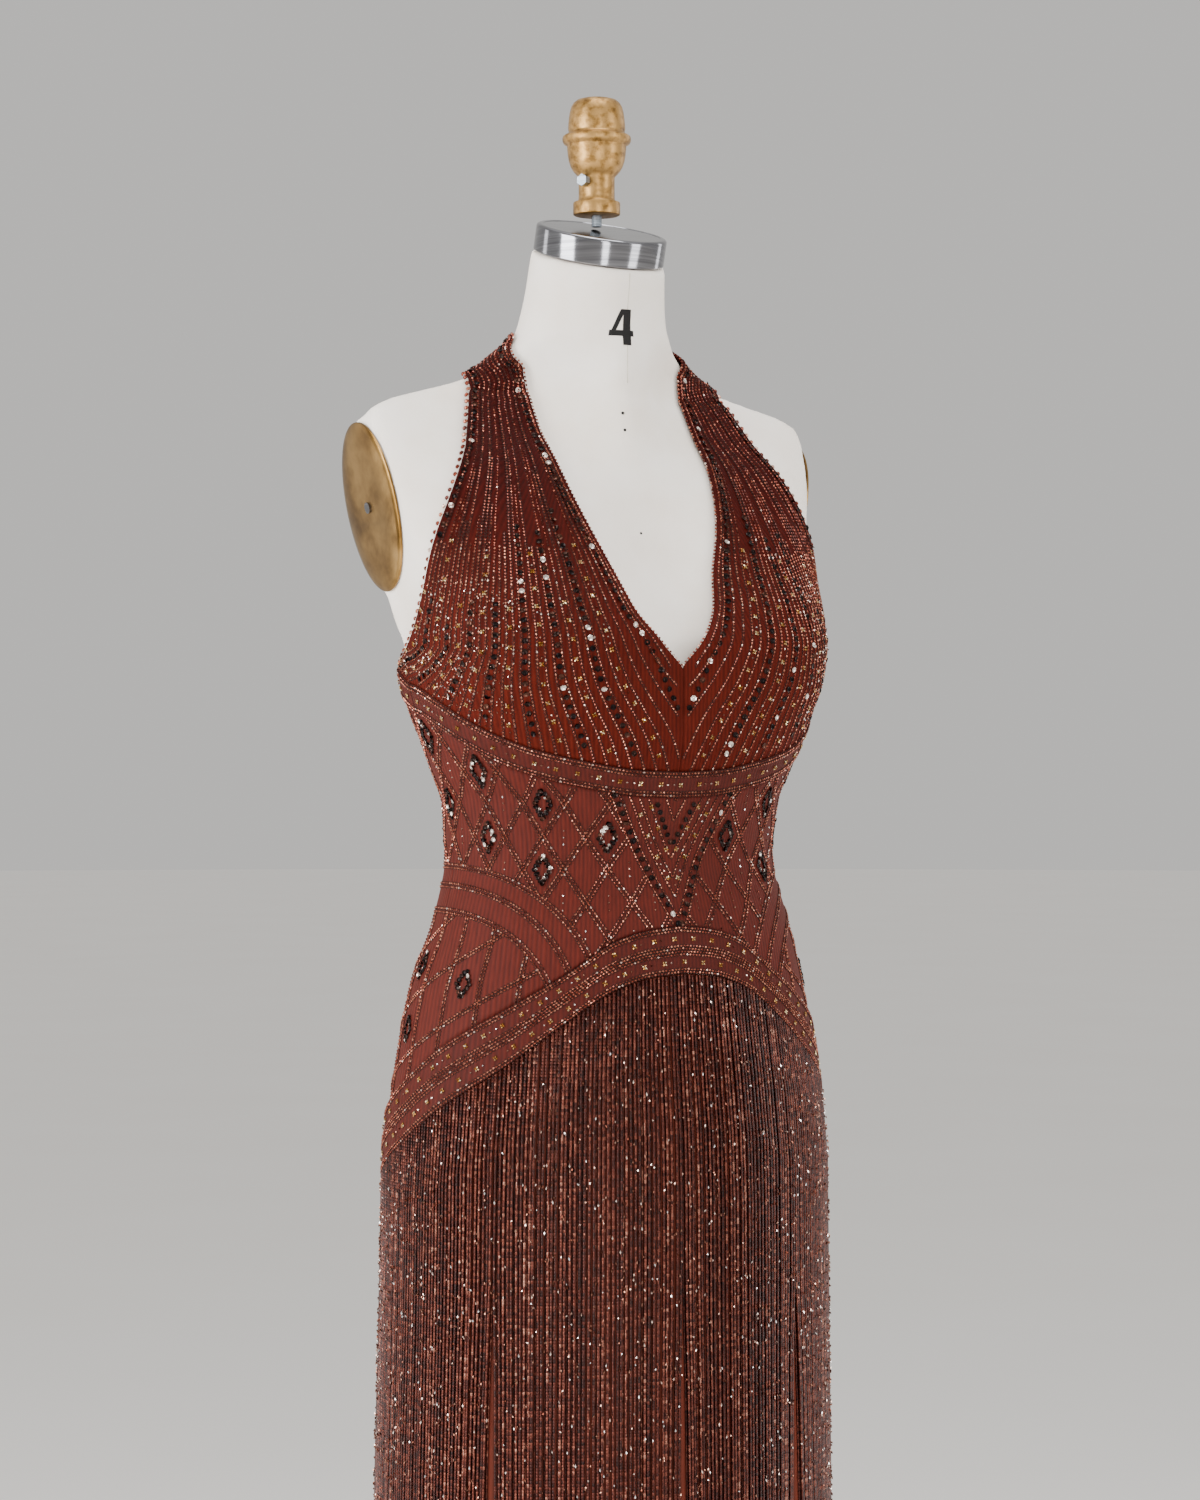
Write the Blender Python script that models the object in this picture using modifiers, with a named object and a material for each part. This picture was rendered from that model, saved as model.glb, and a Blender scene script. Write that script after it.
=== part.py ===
"""A halter evening gown with a beaded fringe, worn by a limbless dress form on a round stand.

The front faces -Y and the floor is z = 0. The origin is on the floor, on the stand's axis.
An angle around the body is measured from the front: 0 at the front, +90 degrees at +X, 180 at the back.
"""

import functools
import math

import bmesh
import bpy
import numpy as np
from mathutils import Matrix, Vector

MM = 0.001

# Driving heights of the dress form and its stand
TORSO_BOTTOM = 0.790
NECK_LEAN_FROM, NECK_TOP = 1.445, 1.496
NECK_TILT = math.radians(17.0)
TORSO_COLUMNS = 40

# The body, then the hanging skirt below it: one row for each level section, from the hem up.
# Lengths are in millimetres. A squareness of 2 is an ellipse, and more is fuller at the corners.
# A positive hollow presses the front in at the centre line, and a negative one fills it out.
SECTION_COLUMNS = (
    "height", "half_width", "front", "back", "centre", "front_square", "back_square", "hollow",
)
SECTIONS = np.array((
    (12.0, 286.0, 255.0, 255.0, 0.0, 2.0, 2.0, 0.0),
    (130.0, 243.0, 209.0, 209.0, 0.0, 2.0, 2.0, 0.0),
    (270.0, 202.0, 162.0, 162.0, 0.0, 2.0, 2.0, 0.0),
    (450.0, 172.0, 127.0, 127.0, -1.0, 2.0, 2.0, 0.0),
    (620.0, 169.0, 124.0, 124.0, -3.0, 2.0, 2.0, 0.0),
    (790.0, 166.0, 121.0, 121.0, -5.0, 2.0, 2.0, 0.0),
    (832.0, 165.5, 121.0, 120.0, -5.0, 2.0, 2.0, 0.0),
    (876.0, 162.0, 118.5, 118.0, -5.0, 2.0, 2.0, 0.0),
    (920.0, 155.5, 113.5, 112.5, -5.0, 2.0, 2.0, 0.0),
    (964.0, 147.0, 108.0, 106.5, -6.5, 2.0, 2.0, 0.0),
    (1008.0, 133.0, 97.5, 97.0, -12.0, 2.0, 2.0, 0.0),
    (1060.0, 122.0, 87.0, 87.0, -9.5, 2.0, 2.0, 0.0),
    (1097.0, 125.5, 94.0, 86.0, -10.0, 2.0, 2.0, 0.0),
    (1119.0, 133.0, 100.0, 86.0, -9.0, 2.1, 2.0, 0.0),
    (1141.0, 141.0, 108.0, 87.0, -6.0, 2.3, 2.0, 0.0),
    (1163.0, 148.0, 113.0, 89.0, -2.0, 2.6, 2.0, 3.0),
    (1185.0, 153.0, 117.0, 91.0, 0.0, 2.9, 2.1, 9.0),
    (1207.0, 155.0, 118.0, 92.0, 0.0, 3.0, 2.1, 15.0),
    (1229.0, 157.0, 110.0, 94.0, 0.0, 2.9, 2.7, 17.0),
    (1260.0, 160.5, 96.0, 96.0, 2.0, 2.6, 3.4, 17.0),
    (1298.0, 168.0, 77.0, 98.0, 4.0, 2.2, 4.2, 11.0),
    (1335.0, 177.0, 54.0, 94.0, 7.0, 1.9, 4.4, -4.0),
    (1365.0, 179.0, 30.0, 79.0, 14.0, 1.7, 3.2, -28.0),
    (1377.0, 177.0, 25.0, 72.0, 19.0, 1.7, 2.4, -35.0),
    (1385.5, 164.0, 22.0, 66.0, 22.0, 1.7, 1.9, -38.5),
    (1393.0, 139.0, 18.0, 62.0, 24.0, 1.7, 1.7, -42.5),
    (1401.6, 108.0, 18.0, 59.0, 24.0, 1.7, 1.7, -42.0),
    (1409.0, 92.0, 18.0, 58.0, 23.5, 1.7, 1.7, -41.5),
    (1417.7, 80.0, 22.0, 56.5, 23.0, 1.8, 1.8, -37.0),
    (1426.5, 69.0, 32.0, 56.0, 22.0, 1.9, 1.9, -26.0),
    (1435.0, 60.5, 50.0, 55.0, 21.0, 2.0, 2.0, -6.0),
    (1445.0, 55.5, 55.0, 54.5, 20.0, 2.0, 2.0, 0.0),
    (1468.0, 51.5, 51.5, 51.5, 14.5, 2.0, 2.0, 0.0),
    (1496.0, 49.0, 49.0, 49.0, 9.0, 2.0, 2.0, 0.0),
))
HOLLOW_WIDTH = 0.044

# Cloth bridges the hollow between the cups: it follows this share of it, and all of it higher up.
BRIDGE_SHARE = 0.3
BRIDGE_FROM, BRIDGE_TO = 1.20, 1.27

# Cloth: distances from the form's surface, and the wall's thickness
CLOTH_CLEARANCE = 0.0026
CLOTH_WALL = 0.0016
BAND_WALL = 0.0026
HIP_BAND_WALL = 0.0036
STRAP_CLEARANCE = 0.0013
SEAM_GAP = 0.0004
PANEL_STEP = math.radians(7.5)

# Bands: their edges from the centre front round to the centre back, in degrees and millimetres
BAND_COLUMNS = ("angle", "lower", "upper")
BUST_BAND = np.array((
    (0.0, 1101.0, 1119.0),
    (12.0, 1102.0, 1120.5),
    (30.0, 1108.5, 1128.0),
    (45.0, 1116.5, 1136.5),
    (57.0, 1126.0, 1146.5),
    (68.0, 1137.0, 1158.0),
    (80.0, 1150.0, 1171.0),
    (93.0, 1163.0, 1184.0),
    (112.5, 1174.0, 1194.5),
    (145.0, 1140.0, 1160.0),
    (180.0, 1108.0, 1128.0),
))
HIP_BAND = np.array((
    (0.0, 976.0, 1008.0),
    (10.0, 973.5, 1005.5),
    (20.0, 965.0, 999.0),
    (35.0, 939.5, 974.5),
    (50.0, 911.0, 952.5),
    (70.0, 881.0, 926.0),
    (90.0, 849.0, 895.5),
    (110.0, 826.0, 871.0),
    (140.0, 813.0, 855.0),
    (180.0, 811.0, 851.0),
))
BUST_BAND_END = math.radians(112.5)

# Halter edges, from the under-bust band up and round to the nape: degrees and millimetres
HALTER_COLUMNS = ("station", "neckline_angle", "neckline_height", "armhole_angle", "armhole_height")
HALTER = np.array((
    (0, 0.0, 1124.0, 112.5, 1193.5),
    (1, 0.0, 1160.0, 101.0, 1196.0),
    (2, 0.0, 1193.0, 91.0, 1206.0),
    (3, 5.5, 1225.0, 81.0, 1240.0),
    (4, 9.0, 1254.0, 73.0, 1264.0),
    (5, 16.0, 1291.0, 62.0, 1292.0),
    (6, 21.0, 1328.0, 51.5, 1322.0),
    (7, 24.5, 1362.0, 45.0, 1352.0),
    (8, 32.0, 1395.0, 47.0, 1389.0),
    (9, 52.0, 1415.0, 84.0, 1406.0),
    (10, 89.5, 1434.5, 115.0, 1408.0),
    (11, 135.0, 1441.0, 145.0, 1408.0),
    (12, 180.0, 1441.0, 180.0, 1408.0),
))
HALTER_ROWS_TO_SHOULDER, HALTER_ROWS_TO_NAPE = 11, 11
SHOULDER_STATION, NAPE_STATION = 8.0, 12.0
FITTED_STATION = 3.0

# Arm plates: the flat oval end of each shoulder, leaning in towards the waist
PLATE_CENTRE = Vector((0.1685, 0.038, 1.309))
PLATE_LEAN = math.radians(12.0)
PLATE_DEPTH, PLATE_HEIGHT = 0.086, 0.124
PLATE_THICKNESS = 0.003
BOSS_RIM, BOSS_LENGTH = 0.002, 0.034
PLATE_SINK, PLATE_REACH, PLATE_FADE = 0.001, 1.3, 2.0
PLATE_SIDES = 28

# Skirt: the panel's rows below the hip band, and the soft flutes of the hem
HEM = 0.012
SKIRT_LEVELS = (0.800, 0.450, 0.270, 0.130, HEM)
FLUTES = 12
SKIRT_COLUMNS = 3 * FLUTES
SKIRT_STEP = math.pi / SKIRT_COLUMNS
FLUTE_START, FLUTE_DEPTH = 0.45, 0.014

# Half widths of the body where a seam's gap is measured
UPPER_HIP_HALF_WIDTH, SKIRT_HALF_WIDTH = 0.133, 0.169

# Fringe: locks of beaded strings on a narrow strip outside the skirt's wall
STRANDS_A_QUARTER = 32
STRIP_CLEARANCE, FLARE_CLEARANCE = 0.0006, 0.0025
STRIP_WALL, STRIP_HEIGHT = 0.0018, 0.007
STRAND_WIDTH, STRAND_DEPTH, STRAND_END = 0.0042, 0.0030, 0.034
PARTINGS = (
    # angle in degrees, half width in millimetres at the floor
    (-51.0, 6.0),
    (-2.5, 5.0),
    (34.0, 9.0),
)
PARTING_REACH = math.radians(9.0)

# Closures at the back
NAPE_BUTTON_HEIGHTS = (1.431, 1.415)
NAPE_BUTTON_ANGLE = math.radians(174.0)
BUTTON_RADIUS, BUTTON_THICKNESS, BUTTON_GAP = 0.0055, 0.0030, 0.0004
ZIP_PULL_ANGLE, ZIP_PULL_TOP = math.pi - 0.03, 1.121
ZIP_PULL_HEIGHT, ZIP_PULL_WIDTH, ZIP_PULL_THICKNESS, ZIP_PULL_GAP = 0.014, 0.005, 0.0016, 0.0007


# Interpolation

def table_at(table, at):
    """The row of a table at this value of its first column, on a smooth curve that keeps to its points' order."""
    keys = table[:, 0]
    step = np.diff(keys)
    slope = np.diff(table, axis=0) / step[:, None]
    before, after = slope[:-1], slope[1:]
    same_way = before * after > 0
    steepest = np.where(same_way, before + after, 1.0)
    inner = np.where(same_way, 2 * before * after / steepest, 0.0)
    tangent = np.vstack([slope[:1], inner, slope[-1:]])
    at = min(max(at, keys[0]), keys[-1])
    i = min(int(np.searchsorted(keys, at, side="right")) - 1, len(keys) - 2)
    u = (at - keys[i]) / step[i]
    return (
        (1 + 2 * u) * (1 - u) ** 2 * table[i]
        + u * (1 - u) ** 2 * step[i] * tangent[i]
        + u * u * (3 - 2 * u) * table[i + 1]
        + u * u * (u - 1) * step[i] * tangent[i + 1]
    )


@functools.lru_cache(maxsize=None)
def section_at(z):
    """The body's measures at this height, by name."""
    return dict(zip(SECTION_COLUMNS, table_at(SECTIONS, z / MM) * MM))


def ease(value, start, end):
    """0 up to start, 1 from end on, and smooth between."""
    u = min(max((value - start) / (end - start), 0.0), 1.0)
    return u * u * (3 - 2 * u)


# Body and cloth surfaces

def body(angle, z, cloth=False):
    """The point of the form, or of cloth that lies on it, at this angle and height."""
    section = section_at(z)
    side, ahead = math.sin(angle), math.cos(angle)
    square = section["front_square" if ahead > 0 else "back_square"] / MM
    depth = section["front" if ahead > 0 else "back"]
    x = math.copysign(abs(side) ** (2 / square), side) * section["half_width"]
    y = section["centre"] - math.copysign(abs(ahead) ** (2 / square), ahead) * depth
    hollow = section["hollow"]
    if cloth and hollow > 0:
        hollow *= BRIDGE_SHARE + (1 - BRIDGE_SHARE) * ease(z, BRIDGE_FROM, BRIDGE_TO)
    if ahead > 0:
        y += hollow * math.exp(-((x / HOLLOW_WIDTH) ** 2)) * ease(ahead, 0.0, 0.3)
    if cloth and z < FLUTE_START:
        ripple = FLUTE_DEPTH * ease(FLUTE_START - z, 0.0, FLUTE_START) * math.cos(FLUTES * angle)
        x += ripple * side
        y -= ripple * ahead
    return Vector((x, y, z))


def cloth_point(angle, z, out):
    """The point this far out from the body, square to the cloth there."""
    turn, rise = 0.004, 0.0005
    low = max(z - rise, HEM)
    across = body(angle + turn, z, True) - body(angle - turn, z, True)
    up = body(angle, z + rise, True) - body(angle, low, True)
    return body(angle, z, True) + across.cross(up).normalized() * out


def band_edge(band, edge, angle):
    """Height of a band's lower or upper edge at this angle, straight from one panel column to the next."""
    steps = math.acos(math.cos(angle)) / PANEL_STEP
    column = BAND_COLUMNS.index(edge)
    start, end = (table_at(band, math.degrees((int(steps) + k) * PANEL_STEP))[column] for k in (0, 1))
    return (start + (steps - int(steps)) * (end - start)) * MM


def bust_band_top(angle):
    """Height of the under-bust band's upper edge, which is the low back's edge behind."""
    return band_edge(BUST_BAND, "upper", angle)


def bust_band_bottom(angle):
    return band_edge(BUST_BAND, "lower", angle)


def hip_band_top(angle):
    return band_edge(HIP_BAND, "upper", angle)


def hip_band_bottom(angle):
    return band_edge(HIP_BAND, "lower", angle)


# Materials and mesh helpers

def material(name, colour, roughness, metallic=0.0):
    made = bpy.data.materials.new(name)
    made.use_nodes = True
    shader = made.node_tree.nodes["Principled BSDF"]
    shader.inputs["Base Color"].default_value = (*colour, 1.0)
    shader.inputs["Roughness"].default_value = roughness
    shader.inputs["Metallic"].default_value = metallic
    return made


def add_object(name, mesh, finish, parts):
    """The mesh as a named object of the part, in its material."""
    mesh.materials.append(finish)
    made = bpy.data.objects.new(name, mesh)
    parts.objects.link(made)
    return made


def mesh_of(name, points, faces):
    mesh = bpy.data.meshes.new(name)
    mesh.from_pydata([tuple(point) for point in points], [], faces)
    mesh.validate()
    return mesh


def wall(name, inner, outer, finish, parts):
    """A closed wall between two grids of points. A grid's rows run upwards, and its columns to +X seen from the front."""
    rows, columns = len(inner), len(inner[0])
    points = [point for grid in (inner, outer) for row in grid for point in row]
    outside = rows * columns

    def at(layer, row, column):
        return layer * outside + row * columns + column

    faces = []
    for r in range(rows - 1):
        for c in range(columns - 1):
            ring = ((r, c), (r, c + 1), (r + 1, c + 1), (r + 1, c))
            faces.append([at(1, *corner) for corner in ring])
            faces.append([at(0, *corner) for corner in reversed(ring)])
    border = [(0, c) for c in range(columns)] + [(r, columns - 1) for r in range(1, rows)]
    border += [(rows - 1, c) for c in range(columns - 2, -1, -1)] + [(r, 0) for r in range(rows - 2, 0, -1)]
    for here, there in zip(border, border[1:] + border[:1]):
        faces.append([at(0, *here), at(0, *there), at(1, *there), at(1, *here)])
    return add_object(name, mesh_of(name, points, faces), finish, parts)


def panel(name, angles, rows_at, finish, parts, thickness=CLOTH_WALL):
    """A cloth wall over these angles. rows_at gives the heights of the rows at an angle."""
    heights = [rows_at(angle) for angle in angles]
    grids = []
    for out in (CLOTH_CLEARANCE, CLOTH_CLEARANCE + thickness):
        grids.append([
            [cloth_point(angle, levels[row], out) for angle, levels in zip(angles, heights)]
            for row in range(len(heights[0]))
        ])
    return wall(name, grids[0], grids[1], finish, parts)


def spread(start, end, count):
    return [start + (end - start) * i / count for i in range(count + 1)]


# The gown

def halter_grid(out_at):
    """Points of the right-hand halter panel: rows run from the band to the nape, columns from neckline to armhole."""
    columns = round(BUST_BAND_END / PANEL_STEP)
    stations = spread(0.0, SHOULDER_STATION, HALTER_ROWS_TO_SHOULDER)
    stations += spread(SHOULDER_STATION, NAPE_STATION, HALTER_ROWS_TO_NAPE)[1:]
    grid = []
    for station in stations:
        edge = dict(zip(HALTER_COLUMNS, table_at(HALTER, station)))
        low = 1 - ease(station, 0.0, FITTED_STATION)
        line = []
        for column in range(columns + 1):
            u = column / columns
            angle = edge["neckline_angle"] + u * (edge["armhole_angle"] - edge["neckline_angle"])
            height = edge["neckline_height"] + u * (edge["armhole_height"] - edge["neckline_height"])
            straight = HALTER[0][2] + u * (HALTER[0][4] - HALTER[0][2])
            height += low * (bust_band_top(u * BUST_BAND_END) / MM - straight)
            if station == 0:
                height += SEAM_GAP / 2 / MM
            point = cloth_point(math.radians(angle), height * MM, out_at(station))
            point.x = max(point.x, SEAM_GAP / 2)
            line.append(point)
        grid.append(line)
    return grid


def mirrored(grid):
    return [[Vector((-p.x, p.y, p.z)) for p in reversed(row)] for row in grid]


def add_bodice(finish, parts):
    """The two halter panels, which meet at the centre front below the V and at the nape."""
    def clearance(station):
        closer = ease(station, SHOULDER_STATION, NAPE_STATION - 1)
        return CLOTH_CLEARANCE + (STRAP_CLEARANCE - CLOTH_CLEARANCE) * closer

    inner = halter_grid(clearance)
    outer = halter_grid(lambda station: clearance(station) + CLOTH_WALL)
    wall("bodice_panel_right", inner, outer, finish, parts)
    wall("bodice_panel_left", mirrored(inner), mirrored(outer), finish, parts)


def seam_angles(start, end):
    """Angles of a panel's columns. A panel that stops at the centre back or a side leaves half a seam's gap there."""
    count = round((end - start) / PANEL_STEP)
    angles = spread(start, end, count)
    half_gap = SEAM_GAP / 2 / UPPER_HIP_HALF_WIDTH
    return [angles[0] + half_gap] + angles[1:-1] + [angles[-1] - half_gap]


def between(low, high, rows):
    """Row heights between two edges, with half a seam's gap at each."""
    def heights(angle):
        bottom, top = low(angle) + SEAM_GAP / 2, high(angle) - SEAM_GAP / 2
        return spread(bottom, top, rows)
    return heights


def add_panels(finish, parts):
    side, back = math.radians(90.0), math.pi
    spans = (("front", -side, side), ("back_right", side, back), ("back_left", -back, -side))
    for place, start, end in spans:
        angles = seam_angles(start, end)
        panel(f"bust_band_{place}", angles, between(bust_band_bottom, bust_band_top, 1),
              finish["band"], parts, BAND_WALL)
        panel(f"midriff_{place}", angles, between(hip_band_top, bust_band_bottom, 6), finish["cloth"], parts)
        panel(f"hip_band_{place}", angles, between(hip_band_bottom, hip_band_top, 1),
              finish["band"], parts, HIP_BAND_WALL)


def skirt_heights(angle):
    top = hip_band_bottom(angle) - SEAM_GAP / 2
    return sorted((*SKIRT_LEVELS, (top + SKIRT_LEVELS[0]) / 2, top))


def add_skirt(finish, parts):
    """Front and back, each falling straight from the hips and opening in soft flutes at the hem."""
    side = math.radians(90.0)
    for name, start, end in (("skirt_front", -side, side), ("skirt_back", side, 3 * side)):
        half_gap = SEAM_GAP / 2 / SKIRT_HALF_WIDTH
        angles = spread(start, end, SKIRT_COLUMNS)
        angles = [angles[0] + half_gap] + angles[1:-1] + [angles[-1] - half_gap]
        panel(name, angles, skirt_heights, finish, parts)


@functools.lru_cache(maxsize=None)
def skirt_column(index, out):
    """The points of one of the skirt's columns, from the hem up, this far out from the body."""
    angle = index * SKIRT_STEP
    return [cloth_point(angle, z, out) for z in skirt_heights(angle)]


def on_skirt(angle, z, out):
    """The point at this angle and height on the skirt's own flat facets, moved out."""
    place = angle / SKIRT_STEP
    index = math.floor(place)
    ends = []
    for points in (skirt_column(index, out), skirt_column(index + 1, out)):
        row = next((r for r in range(1, len(points) - 1) if points[r].z >= z), len(points) - 1)
        low, high = points[row - 1], points[row]
        ends.append(low.lerp(high, (z - low.z) / (high.z - low.z)))
    return ends[0].lerp(ends[1], place - index)


def parted(angle, z):
    """The angle moved away from the fringe's partings, which widen from the hips to the floor."""
    open_share = 1 - ease(z, STRAND_END, SKIRT_LEVELS[0])
    for centre, half_width in PARTINGS:
        away = angle - math.radians(centre)
        half_angle = half_width * MM / SKIRT_HALF_WIDTH * open_share
        angle += math.copysign(half_angle, away) * math.exp(-abs(away) / PARTING_REACH)
    return angle


def strand_heights(angle):
    """A lock's heights below its root: the skirt's own rows, and its free end."""
    rows = sorted(skirt_heights(angle)[1:-1], reverse=True)
    return [*rows, STRAND_END]


def add_fringe(name, start, end, finish, parts):
    """A strip with its locks in one body: each lock grows from a triangle of the strip's underside."""
    near = CLOTH_CLEARANCE + CLOTH_WALL + STRIP_CLEARANCE
    far = near + STRIP_WALL
    margin = 0.004
    inner_angles = spread(start + margin, end - margin, STRANDS_A_QUARTER)
    outer_angles = [(a + b) / 2 for a, b in zip(inner_angles, inner_angles[1:])]

    def top(angle):
        return hip_band_bottom(angle) - SEAM_GAP

    points, faces = [], []

    def add(point):
        points.append(point)
        return len(points) - 1

    chains = {}
    for key, angles, out in (("inner", inner_angles, near), ("outer", outer_angles, far)):
        for edge, drop in (("top", 0.0), ("bottom", STRIP_HEIGHT)):
            chains[key, edge] = [add(on_skirt(a, top(a) - drop, out)) for a in angles]
    for key, turned in (("inner", True), ("outer", False)):
        low, high = chains[key, "bottom"], chains[key, "top"]
        for i in range(len(low) - 1):
            face = [low[i], low[i + 1], high[i + 1], high[i]]
            faces.append(face[::-1] if turned else face)
    for i, (under, over) in enumerate(zip(chains["outer", "bottom"], chains["outer", "top"])):
        faces.append([chains["inner", "top"][i], over, chains["inner", "top"][i + 1]])
        if i:
            faces.append([chains["inner", "top"][i], chains["outer", "top"][i - 1], over])
            faces.append([chains["inner", "bottom"][i], under, chains["outer", "bottom"][i - 1]])
    for i, j, turned in ((0, 0, False), (-1, -1, True)):
        face = [chains["inner", "bottom"][i], chains["outer", "bottom"][j],
                chains["outer", "top"][j], chains["inner", "top"][i]]
        faces.append(face[::-1] if turned else face)
    for i, middle in enumerate(outer_angles):
        ring = [chains["inner", "bottom"][i], chains["inner", "bottom"][i + 1], chains["outer", "bottom"][i]]
        for z in strand_heights(middle):
            at = parted(middle, z)
            body_width = on_skirt(at, z, near).to_2d().length
            half = STRAND_WIDTH / 2 / body_width
            seat = near + (FLARE_CLEARANCE if z <= FLUTE_START else 0.0)
            corners = ((at - half, seat), (at + half, seat), (at, seat + STRAND_DEPTH))
            lower = [add(on_skirt(angle, z, out)) for angle, out in corners]
            for k in range(3):
                following = (k + 1) % 3
                faces.append([ring[k], ring[following], lower[following], lower[k]])
            ring = lower
        faces.append(ring)
    return add_object(name, mesh_of(name, points, faces), finish, parts)


# The dress form and its stand

def plate_axes():
    """The arm plate's own axes on the +X side: out of the plate, across it, and up along it."""
    out = Vector((math.cos(PLATE_LEAN), 0, -math.sin(PLATE_LEAN)))
    up = Vector((math.sin(PLATE_LEAN), 0, math.cos(PLATE_LEAN)))
    return out, Vector((0, 1, 0)), up


def behind_plate(point):
    """The torso's point, drawn in behind the plane of the nearer arm plate."""
    side = math.copysign(1, point.x)
    out, across, up = plate_axes()
    offset = Vector((abs(point.x), point.y, point.z)) - PLATE_CENTRE
    reach = math.hypot(offset.dot(across) / (PLATE_DEPTH / 2), offset.dot(up) / (PLATE_HEIGHT / 2))
    proud = offset.dot(out) + PLATE_SINK
    if proud > 0:
        point.x -= side * proud / out.x * (1 - ease(reach, PLATE_REACH, PLATE_FADE))
    return point


def tilted(point, z):
    """The neck's upper end leans, lower in front, to meet its cap."""
    centre = section_at(z)["centre"]
    point.z += (point.y - centre) * math.tan(NECK_TILT) * ease(z, NECK_LEAN_FROM, NECK_TOP)
    return point


def oval_disc(name, centre_out, thickness, rim, side):
    """An upright oval disc square to the arm plate's plane, its inner face this far out of the plane."""
    out, across, up = plate_axes()
    made = bpy.data.meshes.new(name)
    shape = bmesh.new()
    bmesh.ops.create_cone(shape, cap_ends=True, segments=PLATE_SIDES, radius1=1, radius2=1, depth=1)
    turn = Matrix((across, up, out)).transposed().to_4x4()
    size = Matrix.Diagonal((PLATE_DEPTH / 2 + rim, PLATE_HEIGHT / 2 + rim, thickness, 1))
    place = Matrix.Translation(PLATE_CENTRE + out * (centre_out + thickness / 2))
    bmesh.ops.transform(shape, matrix=place @ turn @ size, verts=shape.verts)
    if side < 0:
        bmesh.ops.scale(shape, vec=(-1, 1, 1), verts=shape.verts)
    bmesh.ops.recalc_face_normals(shape, faces=shape.faces)
    shape.to_mesh(made)
    shape.free()
    return made


def add_torso(finish, parts, helpers):
    heights = [row[0] * MM for row in SECTIONS if row[0] * MM >= TORSO_BOTTOM]
    angles = spread(-math.pi, math.pi, TORSO_COLUMNS)[:-1]
    points = [tilted(behind_plate(body(a, z)), z) for z in heights for a in angles]
    count = len(angles)
    faces = [list(range(count))[::-1]]
    for row in range(len(heights) - 1):
        for column in range(count):
            following = (column + 1) % count
            faces.append([row * count + column, row * count + following,
                          (row + 1) * count + following, (row + 1) * count + column])
    faces.append([(len(heights) - 1) * count + column for column in range(count)])
    torso = add_object("form_torso", mesh_of("form_torso", points, faces), finish, parts)
    for side in (1, -1):
        boss_mesh = oval_disc(f"shoulder_boss_{side}", -BOSS_LENGTH, BOSS_LENGTH, BOSS_RIM, side)
        boss = add_object(f"shoulder_boss_{side}", boss_mesh, finish, helpers)
        boss.hide_render = True
        boss.display_type = "WIRE"
        join = torso.modifiers.new("Shoulder boss", "BOOLEAN")
        join.operation = "UNION"
        join.object = boss
        join.solver = "EXACT"
    return torso


def turned(name, profile, steps, finish, parts, location=(0, 0, 0), tilt=0.0):
    """A turned piece: its profile of radius and height runs down the outer side, from the axis to the axis."""
    mesh = bpy.data.meshes.new(name)
    points = [(radius, 0, height) for radius, height in profile]
    mesh.from_pydata(points, [(i, i + 1) for i in range(len(points) - 1)], [])
    made = add_object(name, mesh, finish, parts)
    screw = made.modifiers.new("Turned", "SCREW")
    screw.steps = screw.render_steps = steps
    screw.use_merge_vertices = True
    screw.merge_threshold = 0.00005
    made.location = location
    made.rotation_euler.x = tilt
    return made


def add_stand(finish, parts):
    pole_radius, base_top = 0.016, 0.026
    base = ((0, 26), (24, 26), (30, 21), (150, 14), (174, 9), (180, 4), (180, 0), (0, 0))
    turned("stand_base", [(r * MM, h * MM) for r, h in base], 28, finish["iron"], parts)
    bottom, top = base_top + 0.0003, TORSO_BOTTOM - 0.0003
    turned("stand_pole", [(0, top), (pole_radius, top), (pole_radius, bottom), (0, bottom)], 20,
           finish["steel"], parts)


def add_neck_fittings(finish, parts):
    """Steel cap on the leaning neck, and the upright finial on its threaded rod."""
    cap_radius, cap_height, cap_edge = 0.0485, 0.020, 0.0015
    neck = Vector((0, section_at(NECK_TOP)["centre"], NECK_TOP))
    axis = Vector((0, -math.sin(NECK_TILT), math.cos(NECK_TILT)))
    cap = [(0, cap_height), (cap_radius - cap_edge, cap_height), (cap_radius, cap_height - cap_edge),
           (cap_radius, 0), (0, 0)]
    turned("neck_cap", cap, 32, finish["steel"], parts, neck + axis * 0.0004, NECK_TILT)
    finial_base, finial_y, rod_radius = 1.528, 0.0115, 0.0038
    cap_top = neck + axis * (cap_height + 0.0004)
    rod_bottom = cap_top.z + (finial_y + rod_radius - cap_top.y) * math.tan(NECK_TILT) + 0.0004
    rod_top = finial_base - 0.0003
    rod = [(0, rod_top), (rod_radius, rod_top), (rod_radius, rod_bottom), (0, rod_bottom)]
    turned("finial_rod", rod, 12, finish["steel"], parts, (0, finial_y, 0))
    finial = (
        (0, 86.4), (9, 85), (16, 80), (20, 72), (21.2, 63), (25, 60), (25, 57), (22.5, 54),
        (21.5, 46), (19, 37), (16, 31), (13.5, 28), (13.3, 13), (16.5, 9), (17, 1.5), (15.5, 0), (0, 0),
    )
    turned("finial", [(r * MM, h * MM) for r, h in finial], 16, finish["wood"], parts,
           (0, finial_y, finial_base))
    screw_angle, screw_height, screw_seat = math.radians(-64.0), finial_base + 0.024, 0.0139
    way = Vector((math.sin(screw_angle), -math.cos(screw_angle), 0))
    seat = Vector((0, finial_y, screw_height)) + way * screw_seat
    peg("finial_screw", seat, way, 0.0045, 0.005, 6, finish["steel"], parts)


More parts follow.
